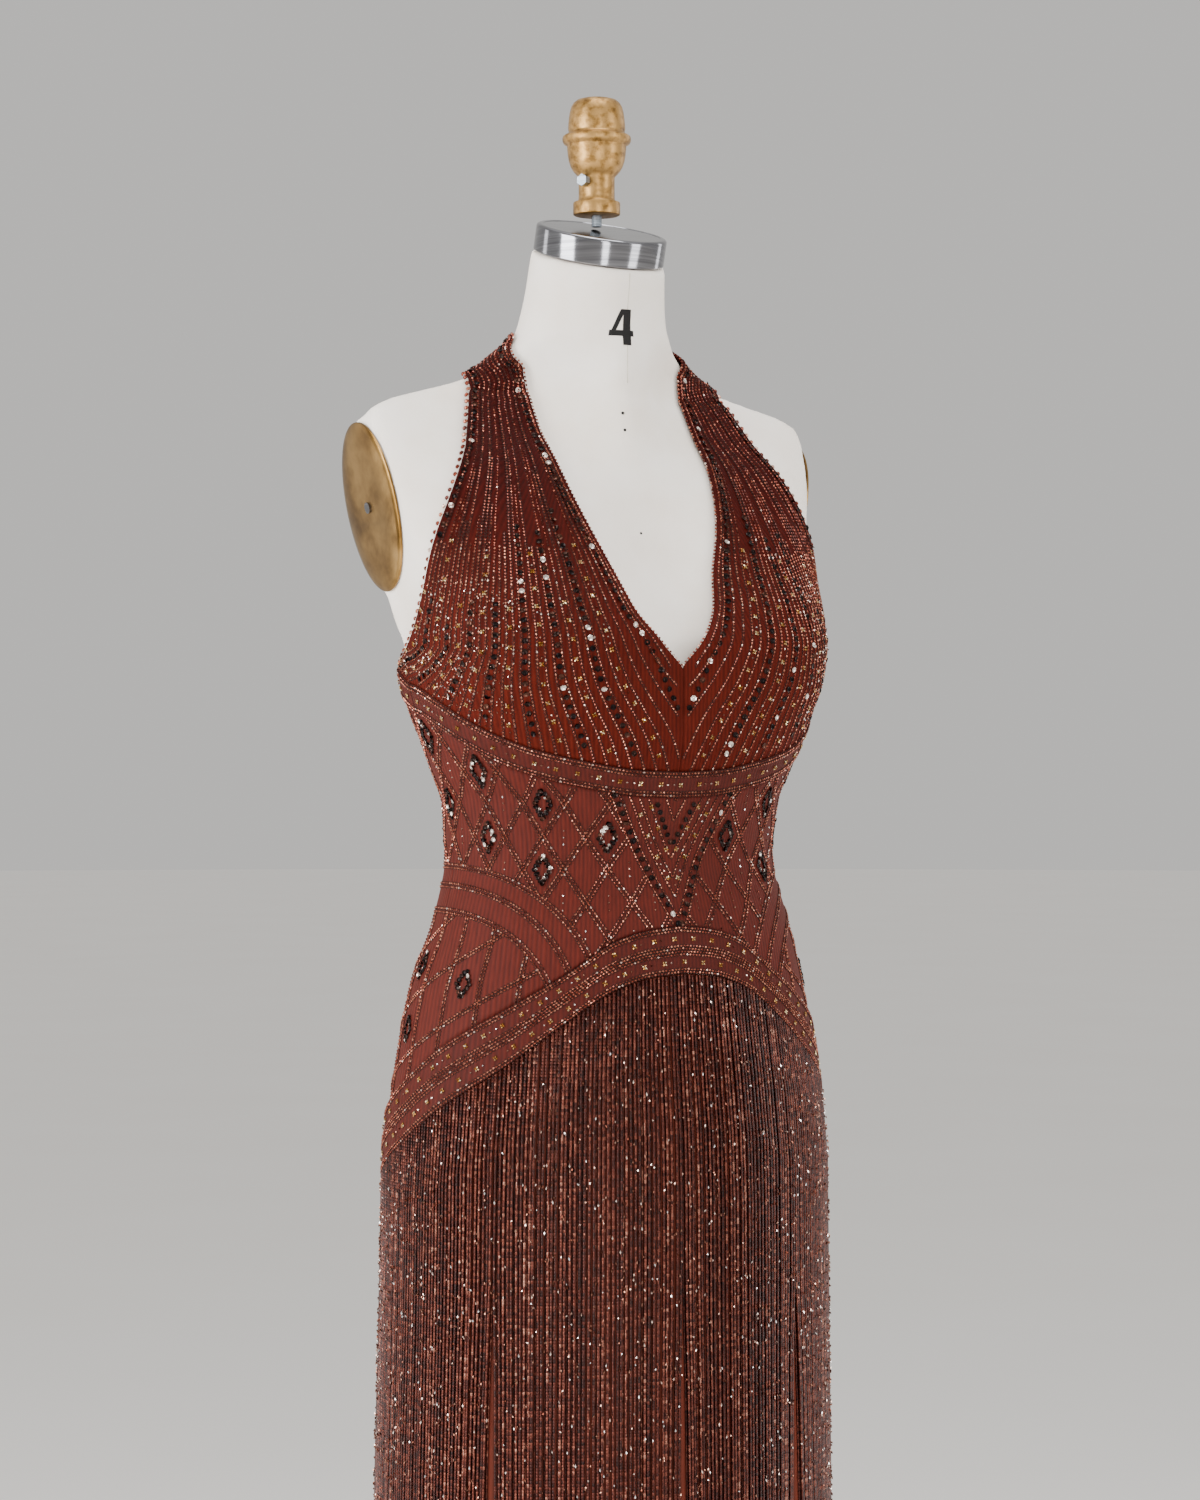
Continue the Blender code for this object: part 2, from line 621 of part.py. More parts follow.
def peg(name, seat, way, radius, length, sides, finish, parts):
    """A short round or hexagonal piece that stands on its seat and points this way."""
    mesh = bpy.data.meshes.new(name)
    shape = bmesh.new()
    bmesh.ops.create_cone(shape, cap_ends=True, segments=sides, radius1=radius, radius2=radius, depth=length)
    shape.to_mesh(mesh)
    shape.free()
    made = add_object(name, mesh, finish, parts)
    made.location = seat + way * (length / 2)
    made.rotation_euler = way.to_track_quat("Z", "Y").to_euler()
    return made


def add_arm_plates(finish, parts):
    out = plate_axes()[0]
    for name, side in (("right", 1), ("left", -1)):
        plate = oval_disc(f"arm_plate_{name}", 0.0004, PLATE_THICKNESS, 0.0, side)
        add_object(f"arm_plate_{name}", plate, finish["brass"], parts)
        seat = PLATE_CENTRE + out * (PLATE_THICKNESS + 0.0007)
        way = Vector((side * out.x, 0, out.z))
        peg(f"arm_plate_screw_{name}", Vector((side * seat.x, seat.y, seat.z)), way, 0.0042, 0.0015, 12,
            finish["steel"], parts)


def add_closures(finish, parts):
    """Two covered buttons at the nape and the pull of the centre-back zip."""
    for number, z in enumerate(NAPE_BUTTON_HEIGHTS, 1):
        foot = cloth_point(NAPE_BUTTON_ANGLE, z, 0.0)
        seat = cloth_point(NAPE_BUTTON_ANGLE, z, STRAP_CLEARANCE + CLOTH_WALL + BUTTON_GAP)
        way = (seat - foot).normalized()
        peg(f"nape_button_{number}", seat, way, BUTTON_RADIUS, BUTTON_THICKNESS, 14, finish["band"], parts)
    near = CLOTH_CLEARANCE + BAND_WALL + ZIP_PULL_GAP
    points = []
    for out in (near, near + ZIP_PULL_THICKNESS):
        for z in (ZIP_PULL_TOP - ZIP_PULL_HEIGHT, ZIP_PULL_TOP):
            middle = cloth_point(ZIP_PULL_ANGLE, z, out)
            width = ZIP_PULL_WIDTH if z < ZIP_PULL_TOP else ZIP_PULL_WIDTH * 0.6
            points += [middle + Vector((width / 2, 0, 0)), middle - Vector((width / 2, 0, 0))]
    faces = [(0, 2, 3, 1), (4, 5, 7, 6), (0, 1, 5, 4), (2, 6, 7, 3), (0, 4, 6, 2), (1, 3, 7, 5)]
    add_object("zip_pull", mesh_of("zip_pull", points, faces), finish["brass"], parts)


def main():
    for old in list(bpy.data.objects):
        bpy.data.objects.remove(old)
    parts = bpy.data.collections.new("Evening gown on a dress form")
    helpers = bpy.data.collections.new("Cutters")
    for collection in (parts, helpers):
        bpy.context.scene.collection.children.link(collection)
    finish = {
        "cloth": material("Crinkled rust georgette", (0.195, 0.032, 0.019), 0.75),
        "band": material("Beaded rust georgette", (0.150, 0.030, 0.018), 0.55),
        "fringe": material("Copper glass beads", (0.200, 0.055, 0.033), 0.35),
        "linen": material("Off-white paper over the form", (0.855, 0.815, 0.755), 0.85),
        "brass": material("Brushed brass", (0.420, 0.260, 0.100), 0.40, 1.0),
        "steel": material("Polished steel", (0.560, 0.560, 0.570), 0.25, 1.0),
        "wood": material("Gold-painted turned wood", (0.520, 0.320, 0.130), 0.50, 0.6),
        "iron": material("Black enamelled iron", (0.020, 0.020, 0.022), 0.45),
    }
    add_torso(finish["linen"], parts, helpers)
    add_neck_fittings(finish, parts)
    add_arm_plates(finish, parts)
    add_stand(finish, parts)
    add_bodice(finish["cloth"], parts)
    add_panels(finish, parts)
    add_skirt(finish["cloth"], parts)
    quarter = math.radians(90.0)
    for number, name in enumerate(("back_left", "front_left", "front_right", "back_right")):
        start = (number - 2) * quarter
        add_fringe(f"fringe_{name}", start, start + quarter, finish["fringe"], parts)
    add_closures(finish, parts)
    for made in parts.objects:
        made.data.shade_smooth()
        made.data.set_sharp_from_angle(angle=math.radians(40.0))
    bpy.context.view_layer.update()


if __name__ == "__main__":
    main()
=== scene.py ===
import functools
import math

import bpy
import numpy as np
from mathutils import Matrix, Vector


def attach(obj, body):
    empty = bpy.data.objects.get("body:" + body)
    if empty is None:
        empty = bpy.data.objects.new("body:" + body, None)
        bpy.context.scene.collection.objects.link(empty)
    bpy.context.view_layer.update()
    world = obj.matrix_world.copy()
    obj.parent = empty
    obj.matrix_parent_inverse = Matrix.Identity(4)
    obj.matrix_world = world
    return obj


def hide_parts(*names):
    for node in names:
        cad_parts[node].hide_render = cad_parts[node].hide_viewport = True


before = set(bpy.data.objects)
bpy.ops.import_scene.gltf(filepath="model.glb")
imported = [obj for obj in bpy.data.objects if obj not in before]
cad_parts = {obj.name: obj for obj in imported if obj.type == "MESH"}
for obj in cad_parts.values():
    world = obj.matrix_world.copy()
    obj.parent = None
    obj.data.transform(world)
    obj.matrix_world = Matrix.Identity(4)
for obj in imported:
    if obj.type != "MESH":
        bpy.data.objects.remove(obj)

bl_info = {
    "name": "Beaded evening gown",
    "version": (1, 0, 0),
    "blender": (4, 5, 0),
    "location": "View3D > Sidebar > Gown",
    "description": "Builds the looks of a beaded halter gown on its dress form",
    "category": "Object",
}

MM = 0.001
FULL_TURN = 360.0

# The body and the skirt that hangs below it, as level sections from the hem up, in millimetres
SECTION_COLUMNS = (
    "height", "half_width", "front", "back", "centre", "front_square", "back_square", "hollow",
)
SECTIONS = np.array((
    (12.0, 286.0, 255.0, 255.0, 0.0, 2.0, 2.0, 0.0),
    (130.0, 243.0, 209.0, 209.0, 0.0, 2.0, 2.0, 0.0),
    (270.0, 202.0, 162.0, 162.0, 0.0, 2.0, 2.0, 0.0),
    (450.0, 172.0, 127.0, 127.0, -1.0, 2.0, 2.0, 0.0),
    (620.0, 169.0, 124.0, 124.0, -3.0, 2.0, 2.0, 0.0),
    (790.0, 166.0, 121.0, 121.0, -5.0, 2.0, 2.0, 0.0),
    (832.0, 165.5, 121.0, 120.0, -5.0, 2.0, 2.0, 0.0),
    (876.0, 162.0, 118.5, 118.0, -5.0, 2.0, 2.0, 0.0),
    (920.0, 155.5, 113.5, 112.5, -5.0, 2.0, 2.0, 0.0),
    (964.0, 147.0, 108.0, 106.5, -6.5, 2.0, 2.0, 0.0),
    (1008.0, 133.0, 97.5, 97.0, -12.0, 2.0, 2.0, 0.0),
    (1060.0, 122.0, 87.0, 87.0, -9.5, 2.0, 2.0, 0.0),
    (1097.0, 125.5, 94.0, 86.0, -10.0, 2.0, 2.0, 0.0),
    (1119.0, 133.0, 100.0, 86.0, -9.0, 2.1, 2.0, 0.0),
    (1141.0, 141.0, 108.0, 87.0, -6.0, 2.3, 2.0, 0.0),
    (1163.0, 148.0, 113.0, 89.0, -2.0, 2.6, 2.0, 3.0),
    (1185.0, 153.0, 117.0, 91.0, 0.0, 2.9, 2.1, 9.0),
    (1207.0, 155.0, 118.0, 92.0, 0.0, 3.0, 2.1, 15.0),
    (1229.0, 157.0, 110.0, 94.0, 0.0, 2.9, 2.7, 17.0),
    (1260.0, 160.5, 96.0, 96.0, 2.0, 2.6, 3.4, 17.0),
    (1298.0, 168.0, 77.0, 98.0, 4.0, 2.2, 4.2, 11.0),
    (1335.0, 177.0, 54.0, 94.0, 7.0, 1.9, 4.4, -4.0),
    (1365.0, 179.0, 30.0, 79.0, 14.0, 1.7, 3.2, -28.0),
    (1377.0, 177.0, 25.0, 72.0, 19.0, 1.7, 2.4, -35.0),
    (1385.5, 164.0, 22.0, 66.0, 22.0, 1.7, 1.9, -38.5),
    (1393.0, 139.0, 18.0, 62.0, 24.0, 1.7, 1.7, -42.5),
    (1401.6, 108.0, 18.0, 59.0, 24.0, 1.7, 1.7, -42.0),
    (1409.0, 92.0, 18.0, 58.0, 23.5, 1.7, 1.7, -41.5),
    (1417.7, 80.0, 22.0, 56.5, 23.0, 1.8, 1.8, -37.0),
    (1426.5, 69.0, 32.0, 56.0, 22.0, 1.9, 1.9, -26.0),
    (1435.0, 60.5, 50.0, 55.0, 21.0, 2.0, 2.0, -6.0),
    (1445.0, 55.5, 55.0, 54.5, 20.0, 2.0, 2.0, 0.0),
    (1468.0, 51.5, 51.5, 51.5, 14.5, 2.0, 2.0, 0.0),
    (1496.0, 49.0, 49.0, 49.0, 9.0, 2.0, 2.0, 0.0),
))
HOLLOW_WIDTH = 44.0
BRIDGE_SHARE, BRIDGE_FROM, BRIDGE_TO = 0.3, 1200.0, 1270.0

# Halter edges, from the under-bust band up and round to the nape: degrees and millimetres
HALTER_COLUMNS = ("station", "neckline_angle", "neckline_height", "armhole_angle", "armhole_height")
HALTER = np.array((
    (0, 0.0, 1124.0, 112.5, 1193.5),
    (1, 0.0, 1160.0, 101.0, 1196.0),
    (2, 0.0, 1193.0, 91.0, 1206.0),
    (3, 5.5, 1225.0, 81.0, 1240.0),
    (4, 9.0, 1254.0, 73.0, 1264.0),
    (5, 16.0, 1291.0, 62.0, 1292.0),
    (6, 21.0, 1328.0, 51.5, 1322.0),
    (7, 24.5, 1362.0, 45.0, 1352.0),
    (8, 32.0, 1395.0, 47.0, 1389.0),
    (9, 52.0, 1415.0, 84.0, 1406.0),
    (10, 89.5, 1434.5, 115.0, 1408.0),
    (11, 135.0, 1441.0, 145.0, 1408.0),
    (12, 180.0, 1441.0, 180.0, 1408.0),
))
FAN_STATION, V_STATION, SHOULDER_STATION, NAPE_STATION = 4.0, 2.0, 8.0, 12.0

# Cloth and band walls in millimetres, the same as the solids under them
CLOTH_IN, CLOTH_OUT = 2.6, 4.2
STRAP_IN = 1.3
BUST_BAND_OUT, HIP_BAND_OUT = 5.2, 6.2
FRINGE_IN = 4.8
SEAM = 0.2

# Bands: where their edges run, in millimetres and degrees
BAND_COLUMNS = ("angle", "lower", "upper")
BUST_BAND = np.array((
    (0.0, 1101.0, 1119.0),
    (12.0, 1102.0, 1120.5),
    (30.0, 1108.5, 1128.0),
    (45.0, 1116.5, 1136.5),
    (57.0, 1126.0, 1146.5),
    (68.0, 1137.0, 1158.0),
    (80.0, 1150.0, 1171.0),
    (93.0, 1163.0, 1184.0),
    (112.5, 1174.0, 1194.5),
    (145.0, 1140.0, 1160.0),
    (180.0, 1108.0, 1128.0),
))
HIP_BAND = np.array((
    (0.0, 976.0, 1008.0),
    (10.0, 973.5, 1005.5),
    (20.0, 965.0, 999.0),
    (35.0, 939.5, 974.5),
    (50.0, 911.0, 952.5),
    (70.0, 881.0, 926.0),
    (90.0, 849.0, 895.5),
    (110.0, 826.0, 871.0),
    (140.0, 813.0, 855.0),
    (180.0, 811.0, 851.0),
))
BUST_BAND_END = 112.5

# Skirt and fringe
HEM, FLARE_FROM, FLUTES, FLUTE_DEPTH = 12.0, 450.0, 12, 14.0
FRINGE_END = 34.0
PARTINGS = (
    # angle in degrees, half width in millimetres at the floor
    (-51.0, 8.0),
    (-2.5, 6.0),
    (34.0, 13.0),
)
PARTING_REACH, PARTING_TOP = 7.0, 740.0

# Sequins in millimetres
SEQUIN_RADIUS, SEQUIN_PITCH = 2.2, 7.4

# Camera, from the photo: degrees, metres and millimetres
CAMERA_AZIMUTH, CAMERA_DISTANCE, CAMERA_HEIGHT = -28.0, 2.5, 1.1335
SENSOR, FRAME_HEIGHT_AT_AXIS, AXIS_OFFSET = 36.0, 1500 / 1360, 4 / 1360


# Interpolation and surfaces, all on arrays: angles in degrees, lengths in millimetres

def table_at(table, at):
    """The rows of a table at these values of its first column, on a smooth curve through its points."""
    keys = table[:, 0]
    step = np.diff(keys)
    slope = np.diff(table, axis=0) / step[:, None]
    before, after = slope[:-1], slope[1:]
    same_way = before * after > 0
    total = np.where(same_way, before + after, 1.0)
    inner = np.where(same_way, 2 * before * after / total, 0.0)
    tangent = np.vstack([slope[:1], inner, slope[-1:]])
    at = np.clip(np.asarray(at, float), keys[0], keys[-1])
    i = np.clip(np.searchsorted(keys, at, side="right") - 1, 0, len(keys) - 2)
    u = ((at - keys[i]) / step[i])[..., None]
    width = step[i][..., None]
    return (
        (1 + 2 * u) * (1 - u) ** 2 * table[i]
        + u * (1 - u) ** 2 * width * tangent[i]
        + u * u * (3 - 2 * u) * table[i + 1]
        + u * u * (u - 1) * width * tangent[i + 1]
    )


def ease(value, start, end):
    """0 up to start, 1 from end on, and smooth between."""
    u = np.clip((np.asarray(value, float) - start) / (end - start), 0.0, 1.0)
    return u * u * (3 - 2 * u)


def section_at(z):
    """The body's level section at these heights, by the names of its columns."""
    return dict(zip(SECTION_COLUMNS, np.moveaxis(table_at(SECTIONS, z), -1, 0)))


def body(angle, z, cloth=True):
    """Points of the form, or of cloth that lies on it, in millimetres."""
    angle, z = np.broadcast_arrays(np.asarray(angle, float), np.asarray(z, float))
    columns = section_at(z)
    side, ahead = np.sin(np.radians(angle)), np.cos(np.radians(angle))
    front = ahead > 0
    power = 2 / np.where(front, columns["front_square"], columns["back_square"])
    depth = np.where(front, columns["front"], columns["back"])
    x = np.sign(side) * np.abs(side) ** power * columns["half_width"]
    y = columns["centre"] - np.sign(ahead) * np.abs(ahead) ** power * depth
    hollow = columns["hollow"]
    if cloth:
        share = BRIDGE_SHARE + (1 - BRIDGE_SHARE) * ease(z, BRIDGE_FROM, BRIDGE_TO)
        hollow = np.where(hollow > 0, hollow * share, hollow)
    y = y + np.where(front, hollow * np.exp(-((x / HOLLOW_WIDTH) ** 2)) * ease(ahead, 0.0, 0.3), 0.0)
    if cloth:
        ripple = FLUTE_DEPTH * ease(FLARE_FROM - z, 0.0, FLARE_FROM) * np.cos(np.radians(FLUTES * angle))
        x = x + ripple * side
        y = y - ripple * ahead
    return np.stack([x, y, z], -1)


def unit(vectors):
    return vectors / np.maximum(np.linalg.norm(vectors, axis=-1, keepdims=True), 1e-12)


def surface(angle, z, out, cloth=True):
    """Points this far out from the body, and the directions out of it there."""
    angle, z = np.broadcast_arrays(np.asarray(angle, float), np.asarray(z, float))
    across = body(angle + 0.25, z, cloth) - body(angle - 0.25, z, cloth)
    up = body(angle, z + 0.5, cloth) - body(angle, np.maximum(z - 0.5, HEM), cloth)
    normal = unit(np.cross(across, up))
    return body(angle, z, cloth) + normal * np.asarray(out, float)[..., None], normal


def band_edge(band, edge, angle):
    """Height of a band's lower or upper edge at this angle."""
    turn = np.degrees(np.arccos(np.cos(np.radians(angle))))
    return table_at(band, turn)[..., BAND_COLUMNS.index(edge)]


bust_band_top = functools.partial(band_edge, BUST_BAND, "upper")
bust_band_bottom = functools.partial(band_edge, BUST_BAND, "lower")
hip_band_top = functools.partial(band_edge, HIP_BAND, "upper")
hip_band_bottom = functools.partial(band_edge, HIP_BAND, "lower")


def angle_on(points):
    """The body's angle at these points, as they are at their own heights."""
    columns = section_at(points[..., 2])
    hollow = np.where(columns["hollow"] < 0, columns["hollow"], 0.0)
    drawn = hollow * np.exp(-((points[..., 0] / HOLLOW_WIDTH) ** 2))
    ahead = columns["centre"] - points[..., 1]
    ahead = np.where(ahead > 0, ahead + drawn, ahead)
    front = ahead > 0
    power = np.where(front, columns["front_square"], columns["back_square"]) / 2
    depth = np.where(front, columns["front"], columns["back"])
    side = np.abs(points[..., 0] / columns["half_width"]) ** power
    ahead = np.sign(ahead) * np.abs(ahead / depth) ** power
    return np.degrees(np.arctan2(np.sign(points[..., 0]) * side, ahead))


def through(points, steps):
    """A smooth curve through points, with this many steps from each to the next."""
    length = np.linalg.norm(np.diff(points, axis=0), axis=-1)[:, None]
    slope = np.diff(points, axis=0) / length
    inner = (slope[1:] * length[:-1] + slope[:-1] * length[1:]) / (length[:-1] + length[1:])
    tangent = np.concatenate([slope[:1], inner, slope[-1:]])
    u = (np.arange(steps) / steps)[None, :, None]
    start, end, reach = points[:-1, None], points[1:, None], length[:, None]
    curve = (
        (1 + 2 * u) * (1 - u) ** 2 * start
        + u * (1 - u) ** 2 * reach * tangent[:-1, None]
        + u * u * (3 - 2 * u) * end
        + u * u * (u - 1) * reach * tangent[1:, None]
    )
    return np.concatenate([curve.reshape(-1, 3), points[-1:]])


def softened(points, rounds):
    """The same curve with its small kinks taken out, and its ends kept."""
    points = points.copy()
    for _ in range(rounds):
        points[1:-1] = (points[:-2] + 2 * points[1:-1] + points[2:]) / 4
    return points


EDGE_STEPS, EDGE_ROUNDS = 24, 140
FRONT_UP_TO, SIDE_FROM = 42.0, 62.0


def halter_edge(which, first):
    """Station, angle and height down one edge of the halter, as a smooth curve over the body."""
    rows = HALTER[first:]
    angle, height = (rows[:, HALTER_COLUMNS.index(f"{which}_{part}")] for part in ("angle", "height"))
    curve = softened(through(body(angle, height), EDGE_STEPS), EDGE_ROUNDS)
    station = first + np.arange(len(curve)) / EDGE_STEPS
    section = section_at(curve[:, 2])
    reach = np.clip(curve[:, 0] / section["half_width"], 0.0, 1.0)
    ahead = np.degrees(np.arcsin(reach ** (section["front_square"] / 2)))
    turn = np.maximum(angle_on(curve), 0.0)
    turn = ahead + (turn - ahead) * ease(turn, FRONT_UP_TO, SIDE_FROM)
    turn[-1] = 180.0
    edge = np.stack([station, turn, curve[:, 2]], -1)
    return np.vstack([(0.0, angle[0], HALTER[0][2]), edge]) if first else edge


NECKLINE, ARMHOLE = halter_edge("neckline", int(V_STATION)), halter_edge("armhole", 0)


def halter(u, station):
    """Angle and height in the right-hand halter panel: u is 0 at the neckline and 1 at the armhole."""
    u, station = np.broadcast_arrays(np.asarray(u, float), np.asarray(station, float))
    neck_angle, neck_height = (np.interp(station, NECKLINE[:, 0], NECKLINE[:, k]) for k in (1, 2))
    arm_angle, arm_height = (np.interp(station, ARMHOLE[:, 0], ARMHOLE[:, k]) for k in (1, 2))
    angle = neck_angle + u * (arm_angle - neck_angle)
    height = neck_height + u * (arm_height - neck_height)
    straight = HALTER[0][2] + u * (HALTER[0][4] - HALTER[0][2])
    low = 1 - ease(station, 0.0, 3.0)
    return angle, height + low * (bust_band_top(u * BUST_BAND_END) - straight)


def halter_in(station):
    """How far the halter's inner face lies from the form."""
    return CLOTH_IN + (STRAP_IN - CLOTH_IN) * ease(station, SHOULDER_STATION, NAPE_STATION - 1)


# Meshes

def deselect():
    if bpy.context.object and bpy.context.object.mode != "OBJECT":
        bpy.ops.object.mode_set(mode="OBJECT")
    bpy.ops.object.select_all(action="DESELECT")


def mesh_piece(name, points, quads, smooth=True, tone=None):
    """An object of these points, in millimetres, and faces of equal corner count."""
    points = np.asarray(points, float).reshape(-1, 3) * MM
    quads = np.asarray(quads, int)
    corners = quads.shape[1]
    mesh = bpy.data.meshes.new(name)
    mesh.vertices.add(len(points))
    mesh.vertices.foreach_set("co", points.astype(np.float32).ravel())
    mesh.loops.add(quads.size)
    mesh.loops.foreach_set("vertex_index", quads.astype(np.int32).ravel())
    mesh.polygons.add(len(quads))
    mesh.polygons.foreach_set("loop_start", np.arange(0, quads.size, corners, dtype=np.int32))
    mesh.polygons.foreach_set("use_smooth", np.full(len(quads), smooth))
    mesh.update(calc_edges=True)
    mesh.validate()
    if tone is not None:
        layer = mesh.attributes.new("tone", "FLOAT", "POINT")
        layer.data.foreach_set("value", np.asarray(tone, np.float32).ravel())
    piece = bpy.data.objects.new(name, mesh)
    bpy.context.scene.collection.objects.link(piece)
    return piece


def grid_faces(rows, columns, start=0, closed=False):
    """Quads over a grid of rows by columns, closed if the last column meets the first."""
    last = columns if closed else columns - 1
    r, c = np.meshgrid(np.arange(rows - 1), np.arange(last), indexing="ij")
    after = (c + 1) % columns
    low, high = r * columns, (r + 1) * columns
    return np.stack([low + c, low + after, high + after, high + c], -1).reshape(-1, 4) + start


def shell(name, inner, outer):
    """A thin closed wall between two grids of points of the same shape."""
    rows, columns = outer.shape[:2]
    count = rows * columns
    faces = [grid_faces(rows, columns), grid_faces(rows, columns, count)[:, ::-1]]
    for rim in (
        np.arange(columns),
        (rows - 1) * columns + np.arange(columns)[::-1],
        np.arange(rows)[::-1] * columns,
        np.arange(rows) * columns + columns - 1,
    ):
        a, b = rim[:-1], rim[1:]
        faces.append(np.stack([b, a, a + count, b + count], -1))
    points = np.concatenate([outer.reshape(-1, 3), inner.reshape(-1, 3)])
    return mesh_piece(name, points, np.concatenate(faces))


def finish_piece(piece, material, slot, *nodes):
    """Gives a piece its material, hangs it under the root, and hides the frame's nodes that it stands for."""
    piece.data.materials.clear()
    piece.data.materials.append(material)
    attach(piece, "root")
    if nodes:
        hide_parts(*nodes)


# Beads: small solids copied along rows

def octahedron():
    corners = [(1, 0, 0), (0, 1, 0), (-1, 0, 0), (0, -1, 0), (0, 0, 1), (0, 0, -1)]
    faces = [(0, 1, 4), (1, 2, 4), (2, 3, 4), (3, 0, 4), (1, 0, 5), (2, 1, 5), (3, 2, 5), (0, 3, 5)]
    return np.array(corners, float), np.array(faces)


def cupped_disc(sides=7):
    turn = np.arange(sides) / sides * 2 * math.pi
    rim = np.stack([np.cos(turn), np.sin(turn), np.zeros(sides) + 0.25], -1)
    low = np.stack([0.45 * np.cos(turn), 0.45 * np.sin(turn), np.zeros(sides) - 0.02], -1)
    points = np.concatenate([rim, low, [(0, 0, -0.08), (0, 0, -0.45)]])
    faces = []
    for i in range(sides):
        j = (i + 1) % sides
        faces += [(sides + i, i, j), (sides + i, j, sides + j), (2 * sides, sides + i, sides + j),
                  (2 * sides + 1, j, i)]
    return points, np.array(faces)


def half_ball():
    """A small facetted ball with a flat underside."""
    rings = [(0.0, 1.0, 6), (0.62, 0.78, 6)]
    points = [(0, 0, 1.0)]
    for height, radius, sides in rings:
        for i in range(sides):
            turn = 2 * math.pi * (i + (0.5 if height else 0.0)) / sides
            points.append((radius * math.cos(turn), radius * math.sin(turn), height))
    faces = []
    for i in range(6):
        j = (i + 1) % 6
        faces += [(1 + i, 1 + j, 7 + i), (7 + i, 1 + j, 7 + j), (7 + i, 7 + j, 0)]
    faces += [(1, 2 + i, 1 + i) for i in range(1, 5)]
    return np.array(points, float), np.array(faces)


TEMPLATES = {"seed": octahedron(), "sequin": cupped_disc(), "round": half_ball()}


class Beads:
    """Collects beads of one kind and makes them one mesh."""

    def __init__(self, kind, seed=1):
        self.kind = kind
        self.sets = []
        self.chance = np.random.default_rng(seed)

    def add(self, centres, forward, out, size, tone=0.5, tilt=0.0):
        """Beads at centres (mm), long way forward, facing out; size is length, width and height."""
        centres = np.asarray(centres, float).reshape(-1, 3)
        if not len(centres):
            return
        out = unit(np.broadcast_to(out, centres.shape) + tilt * self.chance.normal(size=centres.shape))
        forward = np.broadcast_to(forward, centres.shape)
        forward = unit(forward - out * np.sum(forward * out, -1, keepdims=True))
        side = np.cross(out, forward)
        size = np.broadcast_to(np.asarray(size, float), centres.shape)
        tone = np.broadcast_to(np.asarray(tone, float), len(centres))
        self.sets.append((centres, forward, side, out, size, tone))

    def piece(self, name):
        corners, faces = TEMPLATES[self.kind]
        centres, forward, side, out, size, tone = (
            np.concatenate(column) for column in zip(*self.sets)
        )
        points = centres[:, None] + (
            corners[None, :, :1] * size[:, None, :1] * forward[:, None]
            + corners[None, :, 1:2] * size[:, None, 1:2] * side[:, None]
            + corners[None, :, 2:] * size[:, None, 2:] * out[:, None]
        )
        step = np.arange(len(centres))[:, None, None] * len(corners)
        tones = np.repeat(tone, len(corners))
        return mesh_piece(name, points, (faces[None] + step).reshape(-1, 3), False, tones)


BESIDE = 0.4


def evenly(angle, z, pitch, out=CLOTH_OUT, keep=None):
    """Beads' places at equal steps along a line on the cloth, the way it goes there, and the way out."""
    angle, z, out = np.broadcast_arrays(*(np.asarray(value, float) for value in (angle, z, out)))
    none = np.zeros((0, 3))
    if len(angle) < 2:
        return none, none, none
    points, _ = surface(angle, z, out)
    run = np.concatenate([[0.0], np.cumsum(np.linalg.norm(np.diff(points, axis=0), axis=-1))])
    at = np.arange(pitch / 2, run[-1], pitch)
    angles, heights, outs = (np.interp(at, run, values) for values in (angle, z, out))
    if keep is not None:
        kept = keep(angles, heights)
        at, angles, heights, outs = at[kept], angles[kept], heights[kept], outs[kept]
    if not len(at):
        return none, none, none
    spots, normal = surface(angles, heights, outs)
    before, after = (np.clip(at + step, 0, run[-1]) for step in (-BESIDE, BESIDE))
    ahead = np.stack([np.interp(after, run, points[:, i]) - np.interp(before, run, points[:, i])
                      for i in range(3)], -1)
    return spots, unit(ahead), normal


# Materials

def linear(colour):
    """An sRGB hex colour as the linear values that shaders take."""
    parts = [int(colour[i:i + 2], 16) / 255 for i in (1, 3, 5)]
    return tuple(p / 12.92 if p <= 0.04045 else ((p + 0.055) / 1.055) ** 2.4 for p in parts) + (1.0,)


def add_node(tree, kind, settings=None, inputs=None):
    """One shader node with its settings, and its inputs as values or as sockets to link from."""
    made = tree.nodes.new(kind)
    for name, value in (settings or {}).items():
        setattr(made, name, value)
    for name, value in (inputs or {}).items():
        if isinstance(value, bpy.types.NodeSocket):
            tree.links.new(value, made.inputs[name])
        else:
            made.inputs[name].default_value = value
    return made


def new_material(name):
    material = bpy.data.materials.new(name)
    material.use_nodes = True
    material.node_tree.nodes.clear()
    return material, material.node_tree


def close_material(tree, inputs, bump=None, bump_strength=0.3, bump_mm=0.3):
    """Ends a material in one surface shader, with a bump from a height socket if there is one."""
    if bump is not None:
        normal = add_node(tree, "ShaderNodeBump", None, {
            "Strength": bump_strength, "Distance": bump_mm * MM, "Height": bump,
        })
        inputs = dict(inputs, Normal=normal.outputs["Normal"])
    surface_node = add_node(tree, "ShaderNodeBsdfPrincipled", None, inputs)
    out = add_node(tree, "ShaderNodeOutputMaterial")
    tree.links.new(surface_node.outputs["BSDF"], out.inputs["Surface"])


def ramp(tree, factor, *stops):
    """A colour ramp of (place, colour) stops, read at this socket."""
    made = add_node(tree, "ShaderNodeValToRGB", None, {"Fac": factor})
    bar = made.color_ramp
    while len(bar.elements) < len(stops):
        bar.elements.new(1.0)
    for element, (place, colour) in zip(bar.elements, stops):
        element.position = place
        element.color = linear(colour)
    return made.outputs["Color"]


def object_place(tree):
    return add_node(tree, "ShaderNodeTexCoord").outputs["Object"]


